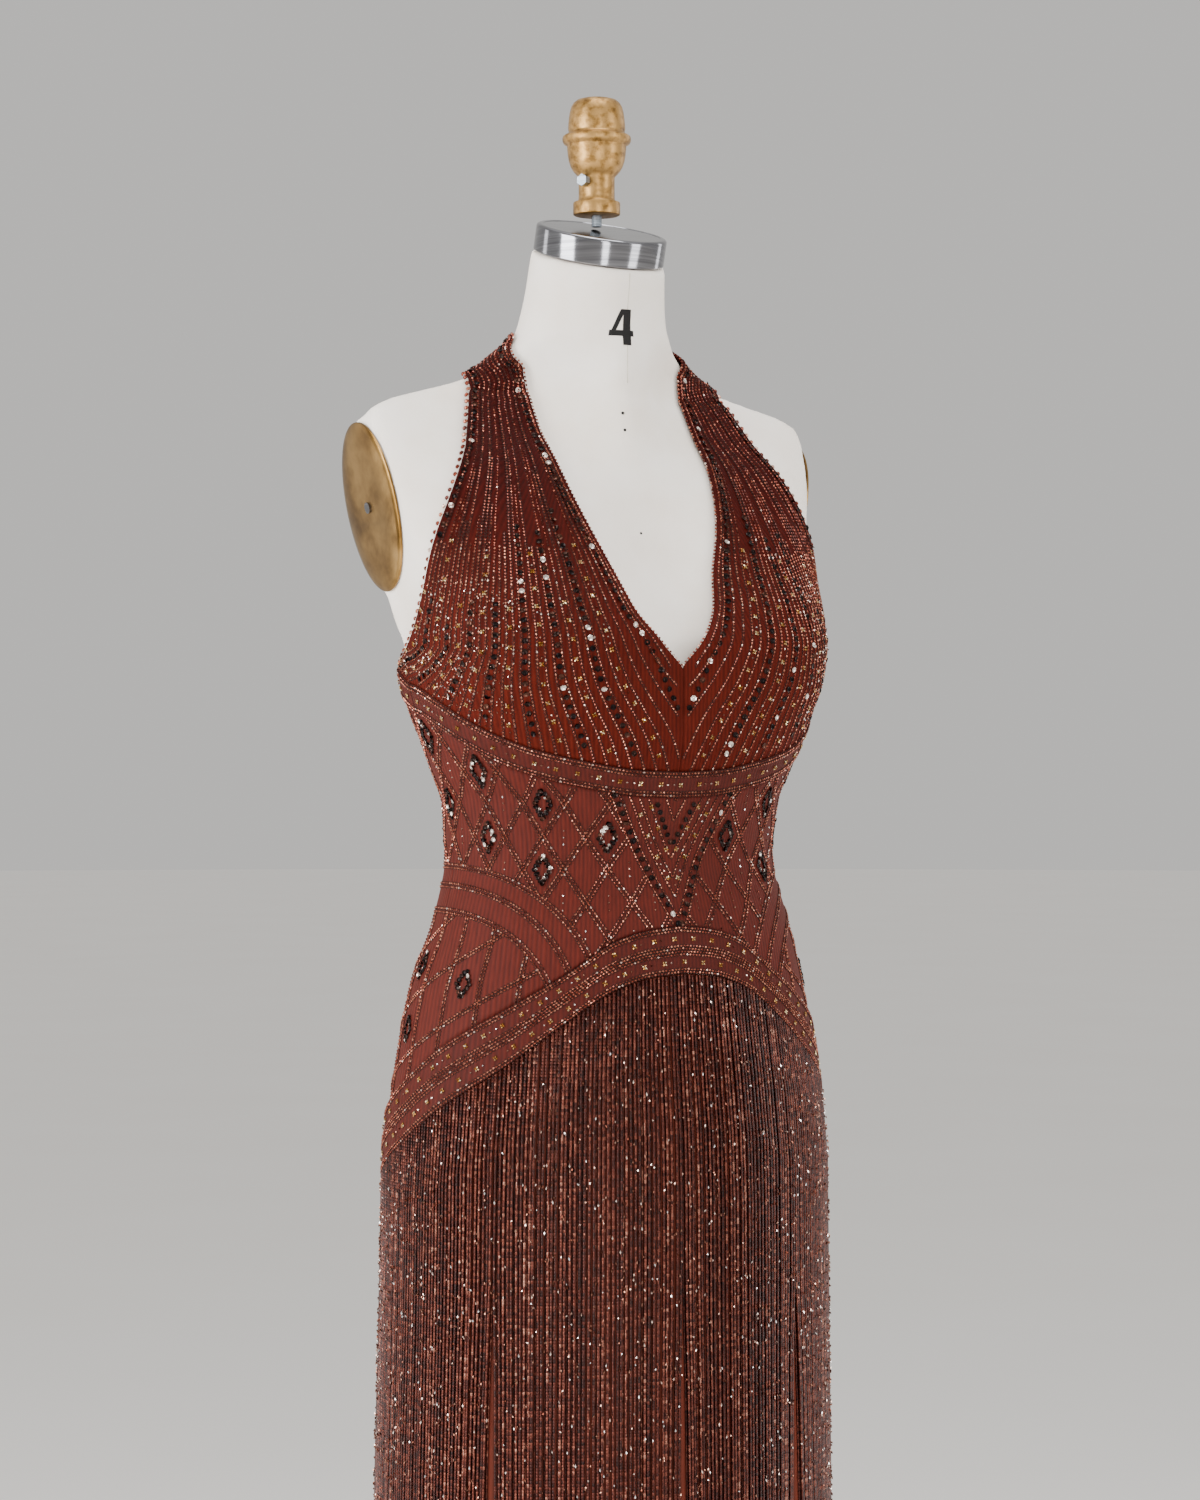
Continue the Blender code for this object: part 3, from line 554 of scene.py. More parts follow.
def object_parts(tree):
    return add_node(tree, "ShaderNodeSeparateXYZ", None, {"Vector": object_place(tree)}).outputs


def calculated(tree, operation, *values):
    """The result of one step of arithmetic on sockets and numbers."""
    return add_node(tree, "ShaderNodeMath", {"operation": operation}, dict(enumerate(values))).outputs[0]


def add_up(tree, one, other, share):
    return calculated(tree, "MULTIPLY_ADD", other, share, one)


def noise(tree, size_mm, stretch=(1.0, 1.0, 1.0), detail=2.0):
    """Noise on object coordinates, this many millimetres in size and stretched along each axis."""
    scale = tuple(1 / (size_mm * MM * s) for s in stretch)
    where = add_node(tree, "ShaderNodeMapping", None, {"Vector": object_place(tree), "Scale": scale})
    return add_node(tree, "ShaderNodeTexNoise", None, {
        "Vector": where.outputs["Vector"], "Scale": 1.0, "Detail": detail,
    }).outputs["Fac"]


def ribs_of(tree, count):
    """A smooth wave with this many crests in one turn round the upright axis."""
    parts = object_parts(tree)
    turn = calculated(tree, "ARCTAN2", parts["X"], parts["Y"])
    share = calculated(tree, "MULTIPLY_ADD", turn, 1 / (2 * math.pi), 0.5)
    return calculated(tree, "SINE", calculated(tree, "MULTIPLY", share, count * 2 * math.pi))


def mixed(tree, factor, low, high):
    """A colour between two hex colours."""
    return add_node(tree, "ShaderNodeMix", {"data_type": "RGBA"}, {
        "Factor": factor, 6: linear(low), 7: linear(high),
    }).outputs[2]


def toned(tree):
    return add_node(tree, "ShaderNodeAttribute", {"attribute_name": "tone"}).outputs["Fac"]


# Heights between which a painted shade darkens the closely beaded silk toward the strap, in millimetres
PAINTED_SHADE_FROM, PAINTED_SHADE_TO = 1180.0, 1340.0


def georgette(name, dark, light, ribs=240, painted_shade=False):
    # Twisted yarns leave fine upright ribs and a dry, matt face with a little sheen at the edges.
    # Real ribs are 0.8 mm apart; these are about 3 mm, so that they show.
    # Toward the strap its colour is multiplied darker with height: painted shade in place of the shadows of
    # the close rows of beads.
    material, tree = new_material(name)
    height = add_up(tree, noise(tree, 3.0, (1.0, 1.0, 5.0), 3.0), ribs_of(tree, ribs), 0.25)
    colour = mixed(tree, height, dark, light)
    # Painted shade: between the two heights the colour is multiplied from white toward #B07C70.
    if painted_shade:
        share = add_node(tree, "ShaderNodeMapRange", None, {
            "Value": object_parts(tree)["Z"], "From Min": PAINTED_SHADE_FROM * MM, "From Max": PAINTED_SHADE_TO * MM,
        }).outputs[0]
        colour = add_node(tree, "ShaderNodeMix", {"data_type": "RGBA", "blend_type": "MULTIPLY"}, {
            "Factor": 1.0, 6: colour, 7: mixed(tree, share, "#FFFFFF", "#B07C70"),
        }).outputs[2]
    close_material(tree, {
        "Base Color": colour,
        "Roughness": 0.72,
        "Sheen Weight": 0.02 if painted_shade else 0.08,
        "Sheen Roughness": 0.5,
        "Sheen Tint": linear("#9C573F"),
        "Specular IOR Level": 0.08 if painted_shade else 0.2,
    }, height, 0.5, 0.6)
    return material


def bead_finish(name, stops, inputs):
    """A finish for loose beads or sequins: a ramp that each one reads at its own tone."""
    material, tree = new_material(name)
    close_material(tree, {"Base Color": ramp(tree, toned(tree), *stops), **inputs})
    return material


BEAD_FINISHES = {
    # Rocailles with a copper lining: dark red-brown glass; the pale pinkish top of the ramp is a painted
    # glint.
    "seed": (
        "glass seed beads, copper lined",
        ((0.0, "#2F0B06"), (0.35, "#5A1F11"), (0.6, "#7E3825"), (0.85, "#AE6F57"), (1.0, "#D0BBAF")),
        {"Metallic": 0.72, "Roughness": 0.26, "Coat Weight": 0.12, "Coat Roughness": 0.06},
    ),
    # Cupped sequins of metallised film: nearly black bronze; the ramp's pale top end, set on a few, is a
    # painted reflection of the light.
    "sequin": (
        "metallised film sequins, dark bronze",
        ((0.0, "#0D0606"), (0.6, "#23140E"), (0.82, "#573326"), (0.95, "#CBBFB5")),
        {"Metallic": 0.85, "Roughness": 0.22},
    ),
    # Gold-lined amber beads: warm, with a hard highlight.
    "gilt": (
        "glass beads, gold lined",
        ((0.0, "#724412"), (0.5, "#AB782D"), (1.0, "#D0C098")),
        {"Metallic": 0.7, "Roughness": 0.2, "Coat Weight": 0.4},
    ),
    # Cut glass with a foiled back: each face is a small mirror.
    "crystal": (
        "cut glass beads, foiled",
        ((0.0, "#5A2A1C"), (0.45, "#A87A66"), (0.8, "#EBD2C4"), (1.0, "#FFFFFF")),
        {"Metallic": 0.9, "Roughness": 0.08},
    ),
}
HALF_STRUNG_BEAD = 1.1


def strung_beads():
    # Fringe strings of 2 mm copper-lined beads: each string has its own tone, and each bead is a little
    # lighter or darker at random, painted light in for how it turns to the light.
    material, tree = new_material("strung glass beads, copper lined")
    snapped = add_node(tree, "ShaderNodeVectorMath", {"operation": "SNAP"}, {
        0: object_place(tree), 1: (3.0 * MM, 3.0 * MM, 2 * HALF_STRUNG_BEAD * MM),
    })
    # Painted light: a random value for each bead-sized cell makes some beads lighter and some darker.
    cell = add_node(tree, "ShaderNodeTexWhiteNoise", None, {"Vector": snapped.outputs[0]})
    blend = add_up(tree, cell.outputs["Value"], toned(tree), 0.6)
    share = calculated(tree, "MULTIPLY", blend, 1 / 1.6)
    colour = ramp(tree, share, (0.0, "#1D0603"), (0.3, "#351009"), (0.6, "#511F14"), (0.85, "#723A2B"),
                  (1.0, "#A97461"))
    bead = calculated(tree, "PINGPONG", object_parts(tree)["Z"], HALF_STRUNG_BEAD * MM)
    height = calculated(tree, "MULTIPLY", bead, 1 / (HALF_STRUNG_BEAD * MM))
    close_material(tree, {
        "Base Color": colour, "Metallic": 0.68, "Roughness": 0.32, "Coat Weight": 0.06, "Coat Roughness": 0.1,
    }, height, 0.6, 0.7)
    return material


def paper_linen():
    # Linen stretched over paper pulp and sized: warm off-white, matt, with a faint weave and mottling.
    material, tree = new_material("sized linen over paper pulp")
    mottle = noise(tree, 45.0, detail=4.0)
    weave = noise(tree, 1.6)
    colour = ramp(tree, mottle, (0.3, "#F3E8DB"), (0.5, "#F8EFE4"), (0.7, "#FCF5EC"))
    close_material(tree, {"Base Color": colour, "Roughness": 0.75, "Specular IOR Level": 0.3},
                   add_up(tree, weave, mottle, 2.0), 0.35, 0.35)
    return material


def brushed_brass():
    # Cast brass plate, brushed along its length and lacquered: a soft stretched shine.
    material, tree = new_material("brass, brushed and lacquered")
    grain = noise(tree, 1.2, (1.0, 6.0, 20.0), 3.0)
    age = noise(tree, 30.0, detail=3.0)
    blend = add_up(tree, age, grain, 0.25)
    colour = ramp(tree, blend, (0.35, "#553B17"), (0.55, "#7E5F31"), (0.8, "#A4814C"))
    close_material(tree, {"Base Color": colour, "Metallic": 1.0, "Roughness": 0.3, "Anisotropic": 0.4},
                   grain, 0.12, 0.1)
    return material


def polished_steel(name="steel, spun and polished", roughness=0.12, dark="#77777B", light="#96969A"):
    # Spun steel: mirror-like, with faint rings from the lathe.
    material, tree = new_material(name)
    rings = noise(tree, 2.0, (30.0, 30.0, 0.6), 2.0)
    colour = ramp(tree, rings, (0.3, dark), (0.7, light))
    close_material(tree, {"Base Color": colour, "Metallic": 1.0, "Roughness": roughness}, rings, 0.08, 0.08)
    return material


def gilded_wood():
    # Turned wood under bronze paint: old gold with a soft sheen, a little darker where hands touch it.
    material, tree = new_material("turned wood, old gold paint")
    wear = noise(tree, 6.0, (1.0, 1.0, 0.8), 5.0)
    fleck = noise(tree, 0.9, detail=1.0)
    blend = add_up(tree, wear, fleck, 0.2)
    colour = ramp(tree, blend, (0.36, "#664619"), (0.5, "#926C35"), (0.66, "#B48B50"))
    close_material(tree, {"Base Color": colour, "Metallic": 0.75, "Roughness": 0.36}, fleck, 0.4, 0.25)
    return material


def painted_iron():
    # Cast iron under satin black enamel, with the faint pitting of the casting.
    material, tree = new_material("cast iron, black enamel")
    pits = noise(tree, 2.5, detail=3.0)
    close_material(tree, {
        "Base Color": mixed(tree, pits, "#151413", "#2A2826"), "Roughness": 0.42, "Coat Weight": 0.2,
    }, pits, 0.25, 0.3)
    return material


def flat_ink(name, dark, light, grain_mm):
    # Ink or thread: flat and matt, broken a little by what it lies on.
    material, tree = new_material(name)
    close_material(tree, {"Base Color": mixed(tree, noise(tree, grain_mm), dark, light), "Roughness": 0.7,
                          "Specular IOR Level": 0.2})
    return material


MATERIALS = {
    "georgette": functools.partial(georgette, "silk georgette, crinkled", "#3A0B03", "#59180C"),
    "underskirt": functools.partial(georgette, "silk georgette, plain", "#481A0B", "#67291A", 150),
    "bands": functools.partial(georgette, "silk georgette, banded", "#350A03", "#4F1409"),
    # The bodice silk, with painted shade toward the strap.
    "beaded": functools.partial(
        georgette, "silk georgette, closely beaded", "#3A0B03", "#59180C", painted_shade=True),
    # Dark strips under the bead lines: partly the beading thread, partly painted shadow around the beads.
    "thread": functools.partial(flat_ink, "beading thread and painted shadow, dark copper", "#1F0703", "#330F07", 2.0),
    **{key: functools.partial(bead_finish, *finish) for key, finish in BEAD_FINISHES.items()},
    "strung": strung_beads,
    "form": paper_linen,
    "brass": brushed_brass,
    "steel": polished_steel,
    "zinc": functools.partial(polished_steel, "steel, zinc plated", 0.3, "#767E86", "#A4ADB6"),
    "gilded": gilded_wood,
    "iron": painted_iron,
    "ink": functools.partial(flat_ink, "printing ink, black", "#0E0D0D", "#242222", 0.8),
    "seam": functools.partial(flat_ink, "linen thread, undyed", "#C9C0B0", "#D8D0C2", 1.5),
}
MADE = {}


def material_of(key):
    if key not in MADE:
        MADE[key] = MATERIALS[key]()
    return MADE[key]


# Cloth pieces

STRAP_FOLDS, STRAP_FOLD_DEPTH = 7, 0.5


def make_panels():
    """The two bodice panels that run on as the halter straps."""
    u = np.linspace(0, 1, 61)[None, :]
    stretches = np.linspace(0, 4, 50)[:-1], np.linspace(4, 8, 40)[:-1], np.linspace(8, 12, 50)
    station = np.concatenate(stretches)[:, None]
    angle, z = np.broadcast_arrays(*halter(u, station))
    clear = np.broadcast_to(halter_in(station), angle.shape)
    wall = CLOTH_OUT - CLOTH_IN
    for side, sign in (("right", 1.0), ("left", -1.0)):
        outer, normal = surface(sign * angle, z, clear + wall)
        inner, _ = surface(sign * angle, z, clear)
        # The fabric draws into faint folds as it gathers to the strap
        share = ease(station, 3.0, 6.0) * (1 - ease(station, 10.0, 12.0))
        fold = STRAP_FOLD_DEPTH * share * np.cos(u * 2 * math.pi * STRAP_FOLDS)
        outer = outer + normal * fold[..., None]
        for grid in (outer, inner):
            grid[..., 0] = sign * np.maximum(sign * grid[..., 0], SEAM)
        if sign < 0:
            outer, inner = outer[:, ::-1], inner[:, ::-1]
        piece = shell(f"bodice_cloth_{side}", inner, outer)
        finish_piece(piece, material_of("beaded"), "cloth", f"bodice_panel_{side}")


def levels_between(low, high, rows):
    """Heights from one edge to the other, in rows."""
    share = np.linspace(0, 1, rows)[:, None]
    return low[None, :] + share * (high - low)[None, :]


def make_wall(name, node, angles, low, high, inner, outer, slot, material, swell=0.0):
    """A cloth wall round part of the body from its lower to its upper edge."""
    rows = 9 if swell else 40
    angle = np.broadcast_to(angles[None, :], (rows, len(angles)))
    z = levels_between(low(angles), high(angles), rows)
    proud = swell * np.sin(np.linspace(0, math.pi, rows))[:, None] ** 0.5
    outside, _ = surface(angle, z, outer + proud)
    inside, _ = surface(angle, z, inner)
    piece = shell(name, inside, outside)
    finish_piece(piece, material_of(material), slot, node)
    height = float(np.mean(high(angles) - low(angles))) * MM
    return piece


SIDES = (
    # the piece, its first and last angle
    ("front", -90.0, 90.0),
    ("back_right", 90.0, 180.0),
    ("back_left", -180.0, -90.0),
)


def side_angles(first, last):
    """Angles from seam to seam, a hair inside each."""
    angles = np.linspace(first, last, int((last - first) / 1.5) + 1)
    angles[0] += 0.1
    angles[-1] -= 0.1
    return angles


def make_bands():
    """The under-bust and hip bands."""
    for side, first, last in SIDES:
        angles = side_angles(first, last)
        make_wall(f"bust_band_cloth_{side}", f"bust_band_{side}", angles,
                  lambda t: bust_band_bottom(t) + SEAM, lambda t: bust_band_top(t) - SEAM,
                  CLOTH_IN, BUST_BAND_OUT, "band", "bands", 0.4)
        make_wall(f"hip_band_cloth_{side}", f"hip_band_{side}", angles,
                  lambda t: hip_band_bottom(t) + SEAM, lambda t: hip_band_top(t) - SEAM,
                  CLOTH_IN, HIP_BAND_OUT, "band", "bands", 0.5)


def make_midriff():
    """The cloth between the two bands."""
    for side, first, last in SIDES:
        make_wall(f"midriff_cloth_{side}", f"midriff_{side}", side_angles(first, last),
                  lambda t: hip_band_top(t) + SEAM, lambda t: bust_band_bottom(t) - SEAM,
                  CLOTH_IN, CLOTH_OUT, "cloth", "georgette")


def make_skirt():
    """The plain underskirt, in a front and a back gore."""
    for node, first, last in (("skirt_front", -90.0, 90.0), ("skirt_back", 90.0, 270.0)):
        angles = side_angles(first, last)
        top = hip_band_bottom(angles) - SEAM
        z = levels_between(np.full_like(top, HEM), top, 90)
        angle = np.broadcast_to(angles[None, :], z.shape)
        outside, normal = surface(angle, z, CLOTH_OUT)
        inside, _ = surface(angle, z, CLOTH_IN)
        soft = 1.6 * ease(FLARE_FROM + 300 - z, 0.0, 700.0) * np.sin(np.radians(angle * 31 + z * 0.05))
        lift = normal * (soft * ease(z, HEM, 60.0))[..., None]
        piece = shell(f"{node}_cloth", inside + lift * 0.5, outside + lift * 0.5)
        finish_piece(piece, material_of("underskirt"), "cloth", node)


# Fringe

QUARTERS = (
    # the fringe's piece, its first and last angle
    ("back_left", -180.0, -90.0),
    ("front_left", -90.0, 0.0),
    ("front_right", 0.0, 90.0),
    ("back_right", 90.0, 180.0),
)


FRINGE_LAYERS = (
    # how far out from the body and the strings' radius in millimetres, and their shift as a share of a pitch
    (FRINGE_IN, 0.85, 0.5),
    (FRINGE_IN + 1.7, 1.05, 0.0),
)
FRINGE_FLARE, FLARE_RUN = 2.2, 120.0


def parted(angle, z):
    """The angle moved away from the fringe's partings, which widen from the hips to the floor."""
    opened = np.clip((PARTING_TOP - z) / (PARTING_TOP - FRINGE_END), 0.0, 1.0) ** 0.5
    for centre, half_width in PARTINGS:
        away = angle - centre
        half = np.degrees(half_width / SECTIONS[4][1]) * opened
        angle = angle + np.sign(away) * half * np.exp(-np.abs(away) / PARTING_REACH)
    return angle


def make_fringe(settings):
    """One tier of strung beads, in two layers, a piece to each quarter."""
    chance = np.random.default_rng(settings.seed)
    for quarter, first, last in QUARTERS:
        points, faces, tones, start = [], [], [], 0
        for out, radius, share in FRINGE_LAYERS:
            count = int((last - first) / settings.strand_pitch)
            angles = first + (np.arange(count) + 0.25 + share) * (last - first) / count
            angles = angles + chance.normal(0, 0.10, count)
            tops = hip_band_bottom(angles) - 1.0
            ends = FRINGE_END + chance.uniform(-4.0, 5.0, count)
            share_down = np.linspace(0, 1, 26) ** 0.85
            z = tops[:, None] + (ends - tops)[:, None] * share_down[None, :]
            swing = chance.normal(0, 0.35, count)[:, None] * share_down
            at = parted(np.broadcast_to(angles[:, None], z.shape), z) + swing
            spread = out + FRINGE_FLARE * ease(FLARE_FROM - z, 0.0, FLARE_RUN)
            middle, normal = surface(at, z, spread)
            side, _ = surface(at + 0.5, z, spread)
            across = unit(side - middle)
            turns = np.arange(4) / 4 * 2 * math.pi + math.pi / 4
            ring = (middle[:, :, None] + radius * np.cos(turns)[None, None, :, None] * across[:, :, None]
                    + radius * np.sin(turns)[None, None, :, None] * normal[:, :, None])
            rows = z.shape[1]
            one = grid_faces(rows, 4, 0, True)
            caps = np.array([(3, 2, 1, 0), tuple((rows - 1) * 4 + k for k in range(4))])
            one = np.concatenate([one, caps])
            step = np.arange(count)[:, None, None] * rows * 4 + start
            faces.append((one[None] + step).reshape(-1, 4))
            points.append(ring.reshape(-1, 3))
            tones.append(np.repeat(chance.uniform(0, 1, count), rows * 4))
            start += count * rows * 4
        strands = mesh_piece(f"fringe_strings_{quarter}", np.concatenate(points), np.concatenate(faces),
                             tone=np.concatenate(tones))
        finish_piece(strands, material_of("strung"), "fringe", f"fringe_{quarter}")


def make_sparkles(settings):
    """Cut beads that break the light all over the fringe."""
    chance = np.random.default_rng(settings.seed + 1)
    count = settings.sparkle_count
    angle = chance.uniform(-180, 180, count)
    top = hip_band_bottom(angle) - 6.0
    z = FRINGE_END + 8 + (top - FRINGE_END - 8) * chance.uniform(0, 1, count) ** 0.85
    at = parted(angle, z)
    spread = FRINGE_IN + 2.9 + FRINGE_FLARE * ease(FLARE_FROM - z, 0.0, FLARE_RUN)
    spots, normal = surface(at, z, spread)
    beads = Beads("seed", settings.seed)
    size = chance.uniform(0.6, 1.0, count)[:, None] * np.array((1.5, 0.85, 0.85)) * settings.bead_size
    beads.add(spots, (0.0, 0.0, 1.0), normal, size, chance.uniform(0, 1, count) ** 1.5, tilt=0.55)
    finish_piece(beads.piece("fringe_sparkles"), material_of("crystal"), "fringe")


# The dress form

PLATE_CENTRE = np.array((168.5, 38.0, 1309.0))
PLATE_LEAN = math.radians(12.0)
PLATE_DEPTH, PLATE_HEIGHT = 86.0, 124.0
NECK_LEAN_FROM, NECK_TOP, NECK_TILT = 1445.0, 1496.0, math.radians(17.0)
TORSO_BOTTOM = 790.0
PLATE_OUT = np.array((math.cos(PLATE_LEAN), 0.0, -math.sin(PLATE_LEAN)))
PLATE_UP = np.array((math.sin(PLATE_LEAN), 0.0, math.cos(PLATE_LEAN)))


def on_form(angle, z, out=0.0):
    """Points of the form, drawn in behind the arm plates and leaning at the neck's top."""
    points, _ = surface(angle, z, out, cloth=False)
    side = np.sign(points[..., 0])
    mirrored = points * np.stack([side, np.ones_like(side), np.ones_like(side)], -1)
    offset = mirrored - PLATE_CENTRE
    reach = np.hypot(offset[..., 1] / (PLATE_DEPTH / 2), offset @ PLATE_UP / (PLATE_HEIGHT / 2))
    proud = offset @ PLATE_OUT + 1.0
    pull = np.where(proud > 0, proud / PLATE_OUT[0] * (1 - ease(reach, 1.3, 2.0)), 0.0)
    points[..., 0] -= side * pull
    lean = (points[..., 1] - section_at(z)["centre"]) * math.tan(NECK_TILT)
    lean = lean * ease(z, NECK_LEAN_FROM, NECK_TOP)
    points[..., 2] += lean
    return points


def oval_boss(side, rings=64):
    """Points and faces of the round-edged boss behind an arm plate."""
    turns = np.arange(rings) / rings * 2 * math.pi
    levels = ((-34.0, 2.0), (-2.5, 2.0), (-0.8, 1.4), (-0.2, 0.2))
    points = []
    for out, rim in levels:
        ring = (PLATE_CENTRE + PLATE_OUT * out
                + np.cos(turns)[:, None] * (PLATE_DEPTH / 2 + rim) * np.array((0.0, 1.0, 0.0))
                + np.sin(turns)[:, None] * (PLATE_HEIGHT / 2 + rim) * PLATE_UP)
        points.append(ring)
    points = np.concatenate(points) * np.array((side, 1.0, 1.0))
    faces = [tuple(face) for face in grid_faces(len(levels), rings, 0, True)]
    faces += [tuple(range(rings))[::-1], tuple((len(levels) - 1) * rings + k for k in range(rings))]
    if side < 0:
        faces = [face[::-1] for face in faces]
    return points, faces


def make_torso():
    """The form's body with the bosses of its arm plates joined in."""
    angle = np.linspace(-180, 180, 241)[:-1]
    z = np.concatenate([np.linspace(TORSO_BOTTOM, 1350, 160)[:-1], np.linspace(1350, NECK_TOP, 90)])
    points = on_form(angle[None, :], z[:, None])
    rows, columns = points.shape[:2]
    faces = [tuple(face) for face in grid_faces(rows, columns, 0, True)]
    faces += [tuple(range(columns))[::-1], tuple((rows - 1) * columns + k for k in range(columns))]
    points = [points.reshape(-1, 3)]
    for side in (1, -1):
        more, boss = oval_boss(side)
        start = sum(len(part) for part in points)
        points.append(more)
        faces += [tuple(k + start for k in face) for face in boss]
    mesh = bpy.data.meshes.new("form_body")
    mesh.from_pydata((np.concatenate(points) * MM).tolist(), [], faces)
    piece = bpy.data.objects.new("form_body", mesh)
    bpy.context.scene.collection.objects.link(piece)
    deselect()
    piece.select_set(True)
    bpy.context.view_layer.objects.active = piece
    remesh = piece.modifiers.new("One skin", "REMESH")
    remesh.mode = "VOXEL"
    remesh.voxel_size = 3.8 * MM
    bpy.ops.object.modifier_apply(modifier=remesh.name)
    smooth = piece.modifiers.new("Soft edges", "SMOOTH")
    smooth.factor, smooth.iterations = 0.5, 3
    bpy.ops.object.modifier_apply(modifier=smooth.name)
    bpy.ops.object.shade_smooth()
    finish_piece(piece, material_of("form"), "form_cover", "form_torso")


def patch_on_form(name, corners, thickness, key):
    """A thin patch on the form between four corners of angle and height, such as ink or a seam."""
    (a0, z0), (a1, z1), (a2, z2), (a3, z3) = corners
    u, v = np.meshgrid(np.linspace(0, 1, 9), np.linspace(0, 1, 24))
    angle = (1 - u) * (1 - v) * a0 + u * (1 - v) * a1 + u * v * a2 + (1 - u) * v * a3
    z = (1 - u) * (1 - v) * z0 + u * (1 - v) * z1 + u * v * z2 + (1 - u) * v * z3
    piece = shell(name, on_form(angle, z, -0.4), on_form(angle, z, thickness))
    finish_piece(piece, material_of(key), "form_cover")
    return piece


# Turned metal and wood, modelled from a disc by extruding and resizing

def spin_up(name, profile, segments, centre, tilt=0.0):
    """A turned piece: a disc of the profile's first radius, extruded and resized from level to level."""
    deselect()
    radius, height = profile[0]
    bpy.ops.mesh.primitive_circle_add(vertices=segments, radius=radius * MM, fill_type="NGON",
                                      location=(0, 0, height * MM))
    piece = bpy.context.object
    piece.name = name
    bpy.ops.object.mode_set(mode="EDIT")
    bpy.ops.mesh.select_all(action="SELECT")
    for level, following in profile[1:]:
        rise = following - height
        bpy.ops.mesh.extrude_region_move(TRANSFORM_OT_translate={"value": (0, 0, rise * MM)})
        ratio = level / radius
        bpy.ops.transform.resize(value=(ratio, ratio, 1), center_override=(0, 0, following * MM))
        radius, height = level, following
    bpy.ops.mesh.select_all(action="SELECT")
    bpy.ops.mesh.normals_make_consistent(inside=False)
    bpy.ops.object.mode_set(mode="OBJECT")
    bpy.ops.object.shade_smooth_by_angle(angle=math.radians(35))
    piece.rotation_euler.x = tilt
    piece.location = Vector(centre) * MM
    bpy.ops.object.transform_apply(location=True, rotation=True, scale=True)
    return piece


FINIAL_BASE, FINIAL_Y = 1528.0, 11.5
CAP_PROFILE = (
    (46.5, 0.0), (48.0, 0.3), (48.5, 1.0), (48.5, 17.6), (48.2, 18.8), (47.4, 19.6), (46.4, 20.0),
    (44.0, 20.0), (43.6, 19.7), (10.0, 19.7),
)
FINIAL_PROFILE = (
    (16.2, 0.0), (17.2, 0.5), (17.4, 1.2), (17.4, 8.8), (17.0, 9.6), (15.4, 10.0), (14.2, 10.4),
    (13.5, 11.6), (13.3, 14.0), (13.3, 27.5), (13.6, 28.6), (15.0, 30.0), (17.2, 32.4), (19.2, 35.8),
    (20.6, 40.0), (21.3, 44.0), (21.8, 49.0), (21.9, 51.2), (22.6, 52.0), (24.4, 53.0), (25.2, 54.6),
    (25.4, 56.4), (25.0, 58.0), (23.8, 59.0), (21.8, 59.8), (20.9, 60.8), (20.7, 62.0), (21.1, 63.4),
    (21.0, 67.0), (20.5, 72.0), (19.9, 76.0), (18.9, 79.8), (17.2, 82.8), (14.6, 84.9), (10.8, 86.0),
    (6.0, 86.4), (1.5, 86.4),
)
BASE_PROFILE = (
    (178.0, 0.0), (179.4, 0.6), (180.0, 2.0), (180.0, 5.0), (179.0, 7.0), (176.0, 9.0), (165.0, 11.6),
    (150.0, 14.0), (110.0, 17.4), (70.0, 19.9), (40.0, 21.0), (31.0, 21.4), (28.6, 22.6), (26.8, 24.8),
    (25.0, 26.0), (16.5, 26.0),
)


def make_fittings():
    """The neck cap, the finial and the stand's foot, with metal and wood finishes on the plain nodes."""
    neck = np.array((0.0, float(section_at(NECK_TOP)["centre"]), NECK_TOP))
    lean = np.array((0.0, -math.sin(NECK_TILT), math.cos(NECK_TILT)))
    cap = spin_up("neck_cap_spun", CAP_PROFILE, 72, neck + 0.4 * lean, NECK_TILT)
    finish_piece(cap, material_of("steel"), "steel", "neck_cap")
    finial = spin_up("finial_turned", FINIAL_PROFILE, 64, (0.0, FINIAL_Y, FINIAL_BASE))
    finish_piece(finial, material_of("gilded"), "gilt_wood", "finial")
    foot = spin_up("stand_foot_cast", BASE_PROFILE, 96, (0.0, 0.0, 0.0))
    finish_piece(foot, material_of("iron"), "iron", "stand_base")
    for side in (1, -1):
        make_arm_plate(side)
    for node, key in (
        ("finial_rod", "zinc"), ("finial_screw", "zinc"), ("stand_pole", "steel"),
        ("arm_plate_screw_right", "steel"), ("arm_plate_screw_left", "steel"),
        ("nape_button_1", "georgette"), ("nape_button_2", "georgette"), ("zip_pull", "brass"),
    ):
        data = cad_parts[node].data
        data.materials.clear()
        data.materials.append(material_of(key))


